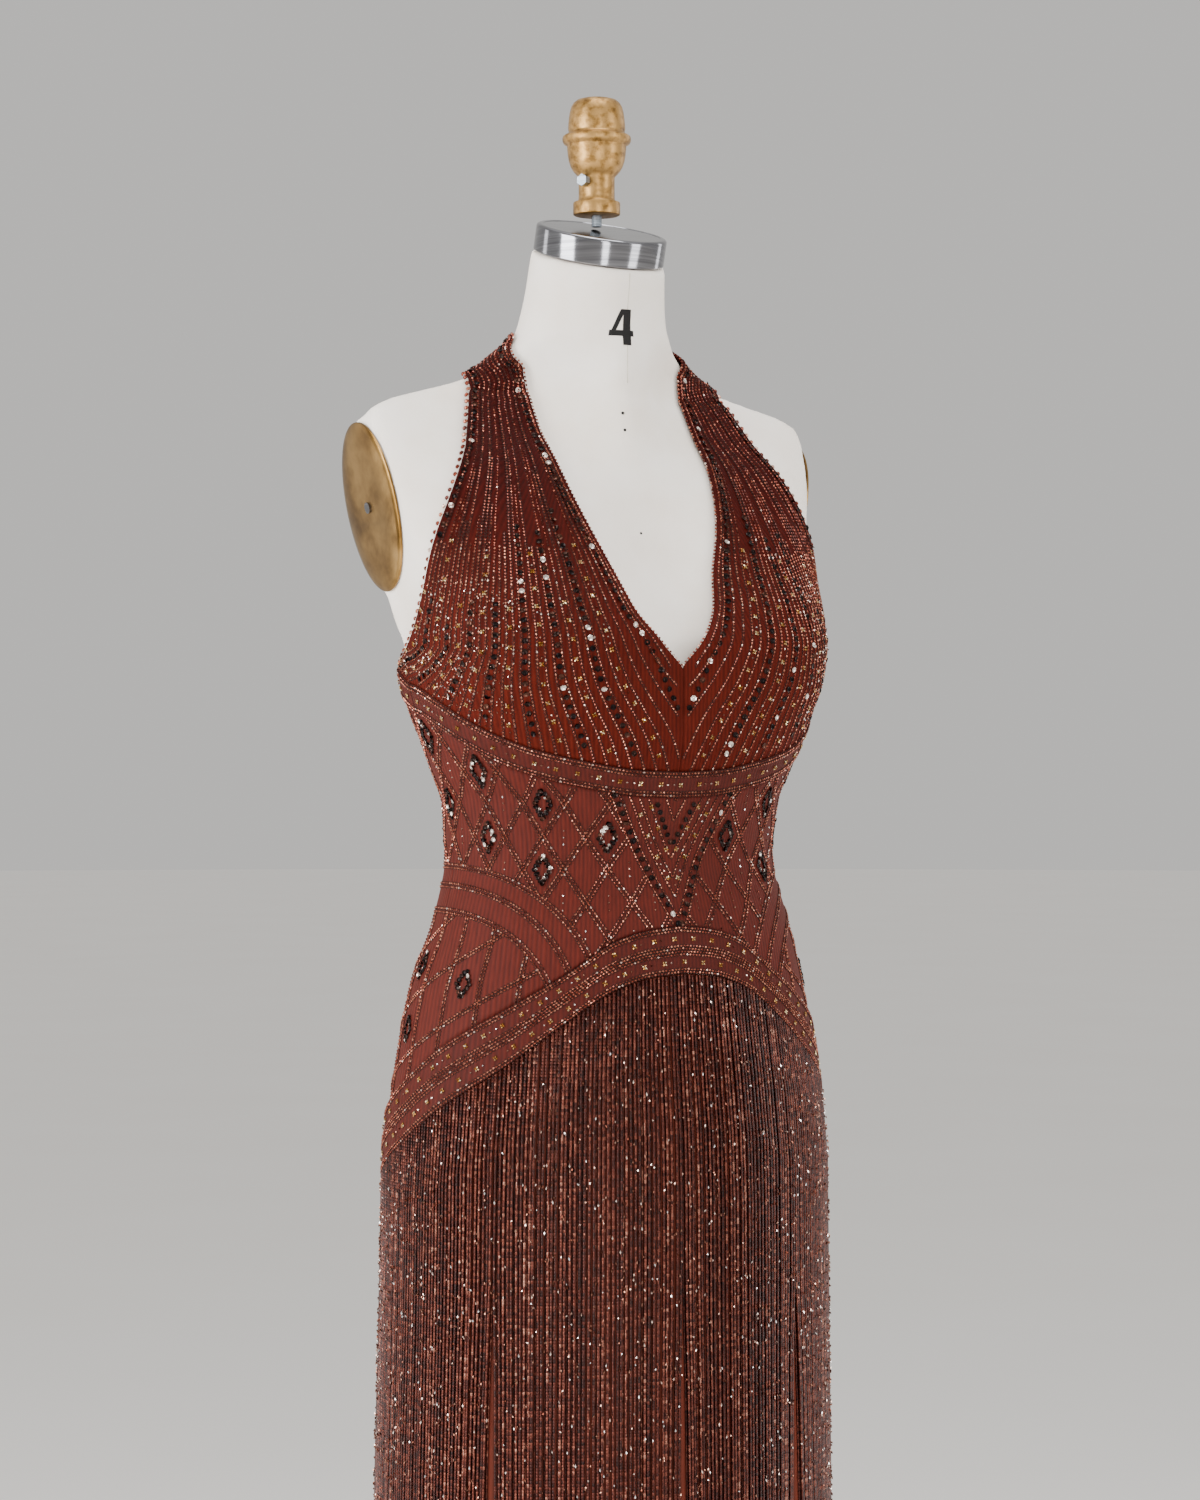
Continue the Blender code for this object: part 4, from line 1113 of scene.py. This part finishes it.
def make_arm_plate(side):
    """An oval brass plate, very slightly domed, beside the shoulder."""
    name = "right" if side > 0 else "left"
    deselect()
    bpy.ops.mesh.primitive_circle_add(vertices=72, radius=1.0, fill_type="NGON", location=(0, 0, 0))
    piece = bpy.context.object
    piece.name = f"arm_plate_brushed_{name}"
    bpy.ops.transform.resize(value=(PLATE_DEPTH / 2 * MM, PLATE_HEIGHT / 2 * MM, 1))
    bpy.ops.object.transform_apply(location=False, rotation=False, scale=True)
    bpy.ops.object.mode_set(mode="EDIT")
    bpy.ops.mesh.select_all(action="SELECT")
    bpy.ops.mesh.extrude_region_move(TRANSFORM_OT_translate={"value": (0, 0, 1.2 * MM)})
    for step, rise in ((0.4, 0.4), (3.6, 0.75), (4.0, 0.5), (4.0, 0.3), (4.0, 0.15), (4.0, 0.05)):
        bpy.ops.mesh.inset(thickness=step * MM, depth=rise * MM)
    bpy.ops.mesh.select_all(action="SELECT")
    bpy.ops.mesh.normals_make_consistent(inside=False)
    bpy.ops.object.mode_set(mode="OBJECT")
    bpy.ops.object.shade_smooth_by_angle(angle=math.radians(35))
    mesh = piece.data
    points = np.empty(len(mesh.vertices) * 3, np.float32)
    mesh.vertices.foreach_get("co", points)
    points = points.reshape(-1, 3)
    place = (PLATE_CENTRE * MM + points[:, :1] * np.array((0.0, 1.0, 0.0)) + points[:, 1:2] * PLATE_UP
             + (points[:, 2:] + 0.4 * MM) * PLATE_OUT) * np.array((side, 1.0, 1.0))
    mesh.vertices.foreach_set("co", place.astype(np.float32).ravel())
    if side < 0:
        mesh.flip_normals()
    mesh.update()
    finish_piece(piece, material_of("brass"), "brass", f"arm_plate_{name}")


# Marks on the form: the size numeral, the front seam and pencil dots

NUMERAL_ANGLE, NUMERAL_FOOT, NUMERAL_HEIGHT, NUMERAL_WIDTH = -4.0, 1427.5, 27.5, 18.0
SEAM_ANGLE, SEAM_WIDTH = 0.3, 0.5
DOTS = (
    # angle, height, radius in millimetres
    (-3.2, 1377.5, 1.3),
    (-3.2, 1365.0, 1.2),
    (-1.0, 1289.0, 1.1),
)


def make_marks():
    """A plain size numeral in strips of ink, the linen's front seam and the pencil dots."""
    turn = math.degrees(1 / SECTIONS[-3][1])
    left, right = NUMERAL_ANGLE - NUMERAL_WIDTH / 2 * turn, NUMERAL_ANGLE + NUMERAL_WIDTH / 2 * turn
    stem, bar = 6.0 * turn, 4.2
    foot, top = NUMERAL_FOOT, NUMERAL_FOOT + NUMERAL_HEIGHT
    waist = foot + 6.5
    patch_on_form("numeral_stem", ((right - stem - 2 * turn, foot), (right - 2 * turn, foot),
                                   (right - 2 * turn, top), (right - stem - 2 * turn, top)), 0.25, "ink")
    patch_on_form("numeral_bar", ((left, waist), (right, waist), (right, waist + bar), (left, waist + bar)),
                  0.3, "ink")
    patch_on_form("numeral_slant", ((left, waist), (left + 3.2 * turn, waist), (right - stem, top),
                                    (right - stem - 4.2 * turn, top)), 0.2, "ink")
    half = SEAM_WIDTH / 2 * turn
    patch_on_form("form_front_seam", ((SEAM_ANGLE - half, 1400.0), (SEAM_ANGLE + half, 1400.0),
                                      (SEAM_ANGLE + half, 1494.0), (SEAM_ANGLE - half, 1494.0)), 0.1, "seam")
    dots = Beads("round")
    for angle, z, radius in DOTS:
        middle = on_form(np.array([angle]), np.array([z]), 0.0)
        ahead = on_form(np.array([angle]), np.array([z]), 1.0) - middle
        dots.add(middle, (0.0, 0.0, 1.0), ahead, (radius, radius, 0.5), 0.3)
    finish_piece(dots.piece("form_dots"), material_of("ink"), "form_cover")


# Studio

CEILING_POWER = 0.52


def look_along(place, target):
    return (Vector(target) - Vector(place)).to_track_quat("-Z", "Y").to_euler()


def make_stage(settings):
    """A pale floor, soft lamps and the camera at the photo's angle."""
    scene = bpy.context.scene
    world = bpy.data.worlds.new("Soft daylight")
    world.use_nodes = True
    sky = world.node_tree.nodes["Background"]
    sky.inputs["Color"].default_value = linear("#EDEBE8")
    sky.inputs["Strength"].default_value = settings.daylight
    scene.world = world
    deselect()
    bpy.ops.mesh.primitive_circle_add(vertices=96, radius=30.0, fill_type="NGON", location=(0, 0, -0.0005))
    floor = bpy.context.object
    floor.name = "studio_floor"
    material, tree = new_material("painted studio floor, pale")
    colour = mixed(tree, noise(tree, 600.0), "#EDEAE6", "#F1EFEC")
    close_material(tree, {"Base Color": colour, "Roughness": 0.9})
    floor.data.materials.append(material)
    turn = math.radians(CAMERA_AZIMUTH)
    toward = Vector((math.sin(turn), -math.cos(turn), 0))
    right = Vector((math.cos(turn), math.sin(turn), 0))
    # lamp name, metres right, metres toward the camera, height, width, length, power
    lamps = (
        ("key", -2.5, 1.6, 1.4, 1.3, 2.6, 138.0),
        ("front", 0.55, 3.0, 1.35, 0.6, 2.4, 34.0),
        ("fill", 2.5, 1.15, 1.4, 0.8, 2.6, 36.0),
        ("top", 0.2, 0.4, 3.4, 1.4, 1.4, 38.0),
        ("rim_right", 2.0, -1.5, 1.4, 0.4, 2.6, 10.0),
        ("rim_left", -2.4, -0.8, 1.4, 0.4, 2.6, 10.0),
    )
    for name, across, ahead, height, width, length, power in lamps:
        data = bpy.data.lights.new(f"studio_{name}", "AREA")
        data.shape = "RECTANGLE"
        data.size = width
        data.size_y = length
        data.energy = power * settings.lamp_power
        lamp = bpy.data.objects.new(f"studio_{name}", data)
        lamp.location = right * across + toward * ahead + Vector((0, 0, height))
        lamp.rotation_euler = look_along(lamp.location, (0, 0, 1.1))
        scene.collection.objects.link(lamp)
    data = bpy.data.lights.new("studio_ceiling", "SUN")
    data.angle = math.radians(80)
    data.energy = CEILING_POWER * settings.lamp_power
    ceiling = bpy.data.objects.new("studio_ceiling", data)
    scene.collection.objects.link(ceiling)
    lens = bpy.data.cameras.new("photo_view")
    lens.sensor_width = SENSOR
    lens.lens = SENSOR * CAMERA_DISTANCE / FRAME_HEIGHT_AT_AXIS
    lens.dof.use_dof = False
    camera = bpy.data.objects.new("photo_view", lens)
    camera.location = toward * CAMERA_DISTANCE - right * AXIS_OFFSET + Vector((0, 0, CAMERA_HEIGHT))
    camera.rotation_euler = (-toward).to_track_quat("-Z", "Y").to_euler()
    scene.collection.objects.link(camera)
    scene.camera = camera


# Beading: lines are drawn in angle and height on the cloth, and beads are set along them

BEAD_SIZE = (1.15, 0.82, 0.7)
SEED_GAP = 2.55
V_TOP_ANGLE, V_TOP, V_TIP = 21.0, 1104.0, 1007.0
INNER_V_TIP = 1066.0
CELL_ANGLE, CELL_HEIGHT, CELL_MIDDLE = 7.5, 24.0, 1072.7
ARC_ANGLE, ARC_FOOT, ARC_POWER = 95.0, 885.0, 2.7
ARCS = (
    # half widths in degrees and heights in millimetres
    (75.5, 165.0),
    (69.0, 151.0),
    (63.6, 133.0),
)
SLANT_HEIGHT, SLANT_ANGLE, SLANT, SLANT_PITCH = 974.0, 80.0, 1.3, 44.0
UPRIGHT_FIRST, UPRIGHT_PITCH = 34.5, 13.3
BODICE_LINES, FIRST_LINE, LINES_WIDTH = 32, 0.035, 0.93


def slanting(turn, number):
    """Height of a slanting line under the arcs, counted up from the middle one."""
    return SLANT_HEIGHT - SLANT * (turn - SLANT_ANGLE) + SLANT_PITCH * number


class Sewing:
    """The bead meshes of one part of the gown, and the calls that set beads into them."""

    def __init__(self, name, settings, seed):
        self.name = name
        self.scale = settings.bead_size
        self.chance = np.random.default_rng(settings.seed * 100 + seed)
        self.seeds = Beads("seed", seed)
        self.sequins = Beads("sequin", seed)
        self.gilt = Beads("seed", seed)
        self.crystals = Beads("seed", seed)
        self.rounds = Beads("round", seed)
        self.thread_and_shadow_strips = Beads("seed", seed)

    def line(self, angle, z, out=CLOTH_OUT, keep=None, gap=SEED_GAP, painted_glints=0.04, shade=1.0):
        """A line of seed beads; painted_glints is the share set to the ramp's pale end as painted glints, and
        a shade over 1 darkens the rest as painted shade.
        """
        spots, ahead, normal = evenly(angle, z, gap, out, keep)
        tone = self.chance.uniform(0.35, 0.86, len(spots)) ** shade
        # Painted glints: this share of the beads is set to the ramp's pale end.
        tone = np.where(self.chance.uniform(size=len(spots)) < painted_glints, 0.95, tone)
        size = np.multiply(BEAD_SIZE, self.scale)
        self.seeds.add(spots + normal * 0.55, ahead, normal, size, tone, tilt=0.12)
        # Under each line a dark strip, wider than thread: partly the beading thread, partly painted shadow
        # around the beads.
        self.thread_and_shadow_strips.add(spots + normal * 0.05, ahead, normal, (0.75 * gap, 1.55, 0.4), 0.5)

    def sequin_row(self, angle, z, out=CLOTH_OUT, keep=None, gap=SEQUIN_PITCH, radius=SEQUIN_RADIUS):
        """A row of cupped sequins, most of them dark."""
        spots, ahead, normal = evenly(angle, z, gap, out, keep)
        tone = self.chance.uniform(0.0, 0.8, len(spots)) ** 1.3
        # Painted reflections: about one sequin in ten is set to the ramp's pale end.
        tone = np.where(self.chance.uniform(size=len(spots)) < 0.10, 1.0, tone)
        size = np.multiply((radius, radius, radius), self.scale)
        self.sequins.add(spots + normal * 0.7, ahead, normal, size, tone, tilt=0.22)

    def flowers(self, angle, z, out=CLOTH_OUT, keep=None, gap=15.0):
        """Small four-bead flowers along a line, with cut beads between them."""
        spots, ahead, normal = evenly(angle, z, gap, out, keep)
        side = np.cross(normal, ahead)
        for a, b in ((1, 1), (1, -1), (-1, 1), (-1, -1)):
            away = unit(a * ahead + b * side)
            tone = self.chance.uniform(0.2, 1.0, len(spots))
            self.gilt.add(spots + away * 1.15 + normal * 0.6, away, normal, (1.05, 0.75, 0.8), tone, tilt=0.2)
        spots, ahead, normal = evenly(angle, z, gap / 3, out, keep)
        chosen = self.chance.uniform(size=len(spots)) < 0.3
        self.crystals.add((spots + normal * 0.5)[chosen], ahead[chosen], normal[chosen], (0.95, 0.8, 0.8),
                          self.chance.uniform(0, 1, chosen.sum()), tilt=0.45)

    def picots(self, angle, z, out, gap, radius, away):
        """Round beads on a finished edge, standing off it."""
        spots, ahead, normal = evenly(angle, z, gap, out - 0.8)
        side = np.cross(normal, ahead) * away
        tone = self.chance.uniform(0.2, 1.0, len(spots))
        self.rounds.add(spots + side * radius * 0.8, ahead, unit(normal + side), np.full(3, radius), tone)

    def scatter(self, angle, z, out, size=0.85):
        """Cut beads at these places."""
        spots, normal = surface(angle, z, out)
        self.crystals.add(spots + normal * 0.5, (0.0, 0.0, 1.0), normal, (size, size * 0.8, size * 0.8),
                          self.chance.uniform(0, 1, len(spots)), tilt=0.5)

    def ring(self, angle, z, keep, half_width=7.0, half_height=11.5):
        """A diamond ring of small dark sequins, with a line of smaller sequins inside it, about a third of
        them painted glints.
        """
        if not keep(np.array([angle]), np.array([z]))[0]:
            return
        turn = math.degrees(half_width / 125.0)
        corners = np.array([(0, 1), (1, 0), (0, -1), (-1, 0), (0, 1)], float)
        share = np.linspace(0, 4, 41)
        path = np.stack([np.interp(share, range(5), corners[:, k]) for k in (0, 1)], -1)
        path = path * (turn, half_height)
        self.sequin_row(angle + path[:, 0], z + path[:, 1], gap=3.3, radius=1.75)
        inner = path * 0.72
        spots, ahead, normal = evenly(angle + inner[:, 0], z + inner[:, 1], 2.9)
        # Painted glints: about a third of the inner sequins are set near the ramp's pale end.
        tone = np.where(self.chance.uniform(size=len(spots)) < 0.3, 0.9, 0.1)
        self.sequins.add(spots + normal * 0.5, ahead, normal, (1.2, 1.2, 1.2), tone, tilt=0.4)

    def pieces(self):
        """Makes the meshes."""
        for label, beads, key in (
            ("seed_beads", self.seeds, "seed"), ("sequins", self.sequins, "sequin"),
            ("flowers", self.gilt, "gilt"), ("cut_beads", self.crystals, "crystal"),
            ("picots", self.rounds, "seed"), ("thread_and_painted_shadow", self.thread_and_shadow_strips, "thread"),
        ):
            if beads.sets:
                finish_piece(beads.piece(f"{self.name}_{label}"), material_of(key), "band")


def panel_line(u, first, last, count=160):
    """A line down a bodice panel, from station first to last: its angle, height and distance out."""
    station = np.linspace(first, last, count)
    angle, z = halter(u, station)
    if first < FAN_STATION:
        top_angle, top_z = (float(value) for value in halter(u, FAN_STATION))
        foot_angle = BUST_BAND_END * (u - 0.10) / 0.90
        foot_z = float(bust_band_top(foot_angle))
        share = station / FAN_STATION
        straight_angle = foot_angle + share * (top_angle - foot_angle)
        straight_z = foot_z + share * (top_z - foot_z)
        mix = np.where(station < FAN_STATION, 1 - ease(u, 0.35, 0.8), 0.0)
        angle = angle + mix * (straight_angle - angle)
        z = z + mix * (straight_z - z)
    return angle, z, halter_in(station) + CLOTH_OUT - CLOTH_IN


def bead_bodice(settings):
    """Both bodice panels: fanned lines, sequin columns, flowers and edge picots."""
    sewing = Sewing("bodice", settings, 1)
    for side in (1, -1):
        def keep(angle, z):
            return (side * angle > 0.5) & (z > bust_band_top(angle) + 1.0)
        for number in range(BODICE_LINES):
            u = FIRST_LINE + LINES_WIDTH * number / (BODICE_LINES - 1)
            last = NAPE_STATION if number % 3 == 0 else 5.2 + 1.4 * math.sin(number)
            angle, z, out = panel_line(u, 0.0, 4.5)
            sewing.line(side * angle, z, out, keep)
            # Up the strap the beads are darker and fewer are painted glints: painted shade, as on the silk
            # there.
            angle, z, out = panel_line(u, 4.5, last, 240)
            sewing.line(side * angle, z, out, keep, painted_glints=0.01, shade=2.0)
            middle = u + 0.5 * LINES_WIDTH / (BODICE_LINES - 1)
            if number % 4 == 1 and number > 1:
                reach = 3.2 + 2.3 * math.sin(math.pi * min(1.0, (number + 3) / 22.0))
                reach -= 0.6 * (number % 8 == 1)
                angle, z, out = panel_line(middle, 0.25, reach)
                sewing.sequin_row(side * angle, z, out, keep)
            elif number % 4 == 3:
                angle, z, out = panel_line(middle, 0.15, 3.4 + 1.2 * (number % 8 == 3))
                sewing.flowers(side * angle, z, out, keep, 14.0)
        make_panel_edges(sewing, side)
        chance = sewing.chance
        u = chance.uniform(0.45, 0.99, 420)
        station = chance.uniform(0.1, 3.7, 420)
        angle, z = halter(u, station)
        low = bust_band_top(angle) + 3
        sewing.scatter(side * angle[z > low], z[z > low], CLOTH_OUT, 0.8)
    sewing.pieces()


def inset(station, distance):
    """The share of the panel's width that is this many millimetres."""
    neck, arm = (surface(*halter(u, station), CLOTH_OUT)[0] for u in (0.0, 1.0))
    return distance / np.linalg.norm(arm - neck, axis=-1)


def make_panel_edges(sewing, side):
    """The picots, and the rows of dark sequins along the neckline and up the strap."""
    for u, gap, radius, away in ((0.0, 3.2, 1.0, -1), (1.0, 6.6, 1.9, 1)):
        first = V_STATION if u == 0.0 else 0.3
        station = np.linspace(first, NAPE_STATION, 200)
        angle, z = halter(u, station)
        out = halter_in(station) + CLOTH_OUT - CLOTH_IN
        sewing.picots(side * angle, z, out, gap, radius, away * side * -1)
    # Down the neckline to the centre front, and the strap's outer edge
    station = np.linspace(V_STATION, NAPE_STATION, 200)
    out = halter_in(station) + CLOTH_OUT - CLOTH_IN
    edge_angle, edge_z = halter(inset(station, 2.4), station)
    sewing.line(side * edge_angle, edge_z, out, painted_glints=0.06)
    row_angle, row_z = halter(inset(station, 6.0), station)
    foot = np.linspace(0, 1, 30)[:-1]
    row_angle = np.concatenate([0.4 + foot * (row_angle[0] - 0.4), row_angle])
    row_z = np.concatenate([1160.0 + foot * (row_z[0] - 1160.0), row_z])
    out = np.concatenate([np.full(len(foot), out[0]), out])
    sewing.sequin_row(side * row_angle, row_z, out, lambda a, h: side * a > 0.3)
    station = np.linspace(4.6, NAPE_STATION, 160)
    angle, z = halter(1.0 - inset(station, 4.5), station)
    sewing.sequin_row(side * angle, z, halter_in(station) + CLOTH_OUT - CLOTH_IN)


def bead_band(sewing, low, high, out, splits):
    """A band's bead lines, two to an edge, with flowers between them; splits names each strip's edges."""
    angle = np.linspace(-180, 180, 721)
    bottom, top = low(angle), high(angle)
    height = float(np.mean(top - bottom))

    def at(offset):
        return bottom + (top - bottom) * offset / height
    for start, end in splits:
        a, b = start * height, end * height
        for offset in (a + 1.3, a + 3.8, b - 3.8, b - 1.3):
            sewing.line(angle, at(offset), out + 0.3 * math.sin(math.pi * offset / height), painted_glints=0.03)
        sewing.flowers(angle, at((a + b) / 2), out + 0.4, None, 15.5)


def leg_angle(z, top_angle, top, tip):
    """How far from the centre front a V's leg is at this height."""
    return top_angle * (z - tip) / (top - tip)


def arc_height(angle, half_width, height):
    """The height of an arc over the hip at this angle, or its foot beyond its ends."""
    away = np.minimum(np.abs(np.abs(angle) - ARC_ANGLE) / half_width, 1.0)
    return ARC_FOOT + height * (1 - away ** ARC_POWER) ** (1 / ARC_POWER)


def in_midriff(angle, z, margin=1.0):
    return (z > hip_band_top(angle) + margin) & (z < bust_band_bottom(angle) - margin)


def in_lattice(angle, z):
    """Above the arcs, and outside the centre V."""
    turn = (angle + 180) % 360 - 180
    clear_of_v = np.abs(turn) > leg_angle(z, V_TOP_ANGLE, V_TOP, V_TIP) + 1.4
    return in_midriff(turn, z) & (z > arc_height(turn, *ARCS[0]) + 1.5) & (clear_of_v | (z < V_TIP))


def under_arcs(angle, z):
    turn = (angle + 180) % 360 - 180
    return in_midriff(turn, z) & (z < arc_height(turn, *ARCS[-1]) - 1.5)


def bead_lattice(sewing):
    """Crossed double lines with dark diamond rings in some of the cells."""
    z = np.linspace(850.0, 1200.0, 500)
    slope = CELL_ANGLE / CELL_HEIGHT
    double = 0.8
    count = int(FULL_TURN / (2 * CELL_ANGLE))
    for lean in (1, -1):
        for number in range(-count, count):
            middle = 2 * CELL_ANGLE * number
            for shift in (-double, double):
                angle = middle + shift + lean * slope * (z - CELL_MIDDLE)
                inside = (angle > -180) & (angle <= 180)
                if inside.any():
                    sewing.line(angle[inside], z[inside], CLOTH_OUT, in_lattice)
    for column in range(-24, 24):
        for row in range(-6, 5):
            if (column + row) % 2 and column % 3 == 0 and row >= -1:
                sewing.ring(column * CELL_ANGLE, CELL_MIDDLE + row * CELL_HEIGHT,
                            lambda a, h: in_lattice(a, h - 9) & in_lattice(a, h + 9))
            elif (column + row) % 2 and (column % 3 == 1 or row < -1):
                at = np.array([column * CELL_ANGLE] * 3, float)
                heights = CELL_MIDDLE + row * CELL_HEIGHT + np.array((-5.0, 0.0, 5.0))
                mask = in_lattice(at, heights)
                sewing.scatter(at[mask], heights[mask], CLOTH_OUT, 0.9)


def bead_arcs(sewing):
    """The three double arcs over each hip, and the slanting lattice under them."""
    for half_width, height in ARCS:
        for side in (1, -1):
            share = np.linspace(0, math.pi, 500)
            for shift in (-1.3, 1.3):
                cos, sin = np.cos(share), np.sin(share)
                power = 2 / ARC_POWER
                turn = ARC_ANGLE + np.sign(cos) * np.abs(cos) ** power * (half_width + shift * 0.5)
                z = ARC_FOOT + sin ** power * (height + shift)
                sewing.line(side * turn, z, CLOTH_OUT, in_midriff)
    for side in (1, -1):
        def near(a, h, side=side):
            return under_arcs(a, h) & (side * ((a + 180) % 360 - 180) > 1)
        for shift in (-1.25, 1.25):
            for number in range(-4, 5):
                turn = np.linspace(20, 175, 500)
                sewing.line(side * turn, slanting(turn, number) + shift, CLOTH_OUT, near)
            for number in range(0, 10):
                z = np.linspace(820, 1040, 300)
                turn = np.full(300, UPRIGHT_FIRST + UPRIGHT_PITCH * number + shift * 0.42)
                sewing.line(side * turn, z, CLOTH_OUT, near)
        for number in range(0, 10, 2):
            for row in range(-3, 4):
                turn = 41.0 + UPRIGHT_PITCH * number
                z = slanting(turn, row) + SLANT_PITCH / 2
                sewing.ring(side * turn, z, lambda a, h: near(a, h - 8) & near(a, h + 8), 6.0, 10.0)


def bead_centre(sewing):
    """The nested Vs of dark sequins at the centre front, with bead chevrons between them."""
    z = np.linspace(V_TIP, 1112.0, 240)
    for side in (1, -1):
        sewing.sequin_row(side * leg_angle(z, V_TOP_ANGLE, V_TOP, V_TIP), z, CLOTH_OUT, in_midriff)
        for number in range(0, 9):
            tip = V_TIP - 7.0 + 14.0 * number
            leg = leg_angle(z, V_TOP_ANGLE, V_TOP + tip - V_TIP, tip)
            inside = (leg > 0) & (leg < leg_angle(z, V_TOP_ANGLE, V_TOP, V_TIP) + 2.2)
            if inside.sum() > 8 and abs(tip - INNER_V_TIP) > 5:
                sewing.line(side * leg[inside], z[inside], CLOTH_OUT, in_midriff)
        leg = leg_angle(z, V_TOP_ANGLE, V_TOP + INNER_V_TIP - V_TIP, INNER_V_TIP)
        sewing.sequin_row(side * leg[leg > 0], z[leg > 0], CLOTH_OUT, in_midriff, 6.0, 2.0)
        for tip in (V_TIP + 27.0, V_TIP + 48.0):
            leg = leg_angle(z, V_TOP_ANGLE, V_TOP + tip - V_TIP, tip)
            sewing.flowers(side * leg[leg > 0], z[leg > 0], CLOTH_OUT, in_midriff, 17.0)


def make_beading(settings):
    """All the sewn beads above the fringe."""
    bead_bodice(settings)
    bands = Sewing("bands", settings, 2)
    bead_band(bands, bust_band_bottom, bust_band_top, BUST_BAND_OUT + 0.2, ((0.0, 1.0),))
    bead_band(bands, hip_band_bottom, hip_band_top, HIP_BAND_OUT + 0.2, ((0.0, 0.5), (0.5, 1.0)))
    bands.pieces()
    midriff = Sewing("midriff", settings, 3)
    bead_lattice(midriff)
    bead_arcs(midriff)
    bead_centre(midriff)
    midriff.pieces()


# The add-on: settings, one operator for each group of pieces, and a panel

class GownSettings(bpy.types.PropertyGroup):
    bead_size: bpy.props.FloatProperty(
        name="Bead size", description="Size of the beads against their usual size",
        default=1.0, min=0.5, max=1.5)
    strand_pitch: bpy.props.FloatProperty(
        name="String spacing", description="Degrees round the hips from one fringe string to the next",
        default=1.14, min=0.8, max=3.0)
    sparkle_count: bpy.props.IntProperty(
        name="Cut beads", description="How many cut beads the fringe has", default=11000, min=0, max=16000)
    seed: bpy.props.IntProperty(
        name="Seed", description="Sets how the strings hang and where the cut beads lie", default=7, min=0)
    lamp_power: bpy.props.FloatProperty(
        name="Lamp power", description="Power of all the lamps against their usual power",
        default=1.0, min=0.1, max=4.0)
    daylight: bpy.props.FloatProperty(
        name="Daylight", description="Strength of the light from all round", default=0.74, min=0.0, max=3.0)


class GOWN_OT_stage(bpy.types.Operator):
    """Sets up the floor, the lamps and the camera"""
    bl_idname = "gown.stage"
    bl_label = "Studio and camera"

    def execute(self, context):
        make_stage(context.scene.gown)
        return {"FINISHED"}


class GOWN_OT_form(bpy.types.Operator):
    """Makes the dress form's body and its marks"""
    bl_idname = "gown.form"
    bl_label = "Dress form"

    def execute(self, context):
        make_torso()
        make_marks()
        return {"FINISHED"}


class GOWN_OT_fittings(bpy.types.Operator):
    """Makes the neck cap, finial, arm plates and stand"""
    bl_idname = "gown.fittings"
    bl_label = "Fittings and stand"

    def execute(self, context):
        make_fittings()
        return {"FINISHED"}


class GOWN_OT_bodice(bpy.types.Operator):
    """Makes the bodice panels and halter straps"""
    bl_idname = "gown.bodice"
    bl_label = "Bodice"

    def execute(self, context):
        make_panels()
        return {"FINISHED"}


class GOWN_OT_midriff(bpy.types.Operator):
    """Makes the midriff and the two bands"""
    bl_idname = "gown.midriff"
    bl_label = "Midriff and bands"

    def execute(self, context):
        make_midriff()
        make_bands()
        return {"FINISHED"}


class GOWN_OT_skirt(bpy.types.Operator):
    """Makes the underskirt"""
    bl_idname = "gown.skirt"
    bl_label = "Underskirt"

    def execute(self, context):
        make_skirt()
        return {"FINISHED"}


class GOWN_OT_fringe(bpy.types.Operator):
    """Makes the bead fringe and its cut beads"""
    bl_idname = "gown.fringe"
    bl_label = "Bead fringe"

    def execute(self, context):
        make_fringe(context.scene.gown)
        make_sparkles(context.scene.gown)
        return {"FINISHED"}


class GOWN_OT_beading(bpy.types.Operator):
    """Makes the beads, sequins and picots of the bodice, bands and midriff"""
    bl_idname = "gown.beading"
    bl_label = "Beading"

    def execute(self, context):
        make_beading(context.scene.gown)
        return {"FINISHED"}


OPERATORS = (
    GOWN_OT_stage, GOWN_OT_form, GOWN_OT_fittings, GOWN_OT_skirt, GOWN_OT_fringe, GOWN_OT_midriff,
    GOWN_OT_bodice, GOWN_OT_beading,
)


class GOWN_PT_panel(bpy.types.Panel):
    """Lists the gown's settings and pieces"""
    bl_idname = "GOWN_PT_panel"
    bl_label = "Beaded gown"
    bl_space_type = "VIEW_3D"
    bl_region_type = "UI"
    bl_category = "Gown"

    def draw(self, context):
        for name in GownSettings.__annotations__:
            self.layout.prop(context.scene.gown, name)
        for operator in OPERATORS:
            self.layout.operator(operator.bl_idname)


def register():
    for kind in (GownSettings, *OPERATORS, GOWN_PT_panel):
        bpy.utils.register_class(kind)
    bpy.types.Scene.gown = bpy.props.PointerProperty(type=GownSettings)


def unregister():
    del bpy.types.Scene.gown
    for kind in reversed((GownSettings, *OPERATORS, GOWN_PT_panel)):
        bpy.utils.unregister_class(kind)


def main():
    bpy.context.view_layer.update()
    register()
    for operator in OPERATORS:
        group, name = operator.bl_idname.split(".")
        getattr(getattr(bpy.ops, group), name)()


if __name__ == "__main__":
    main()
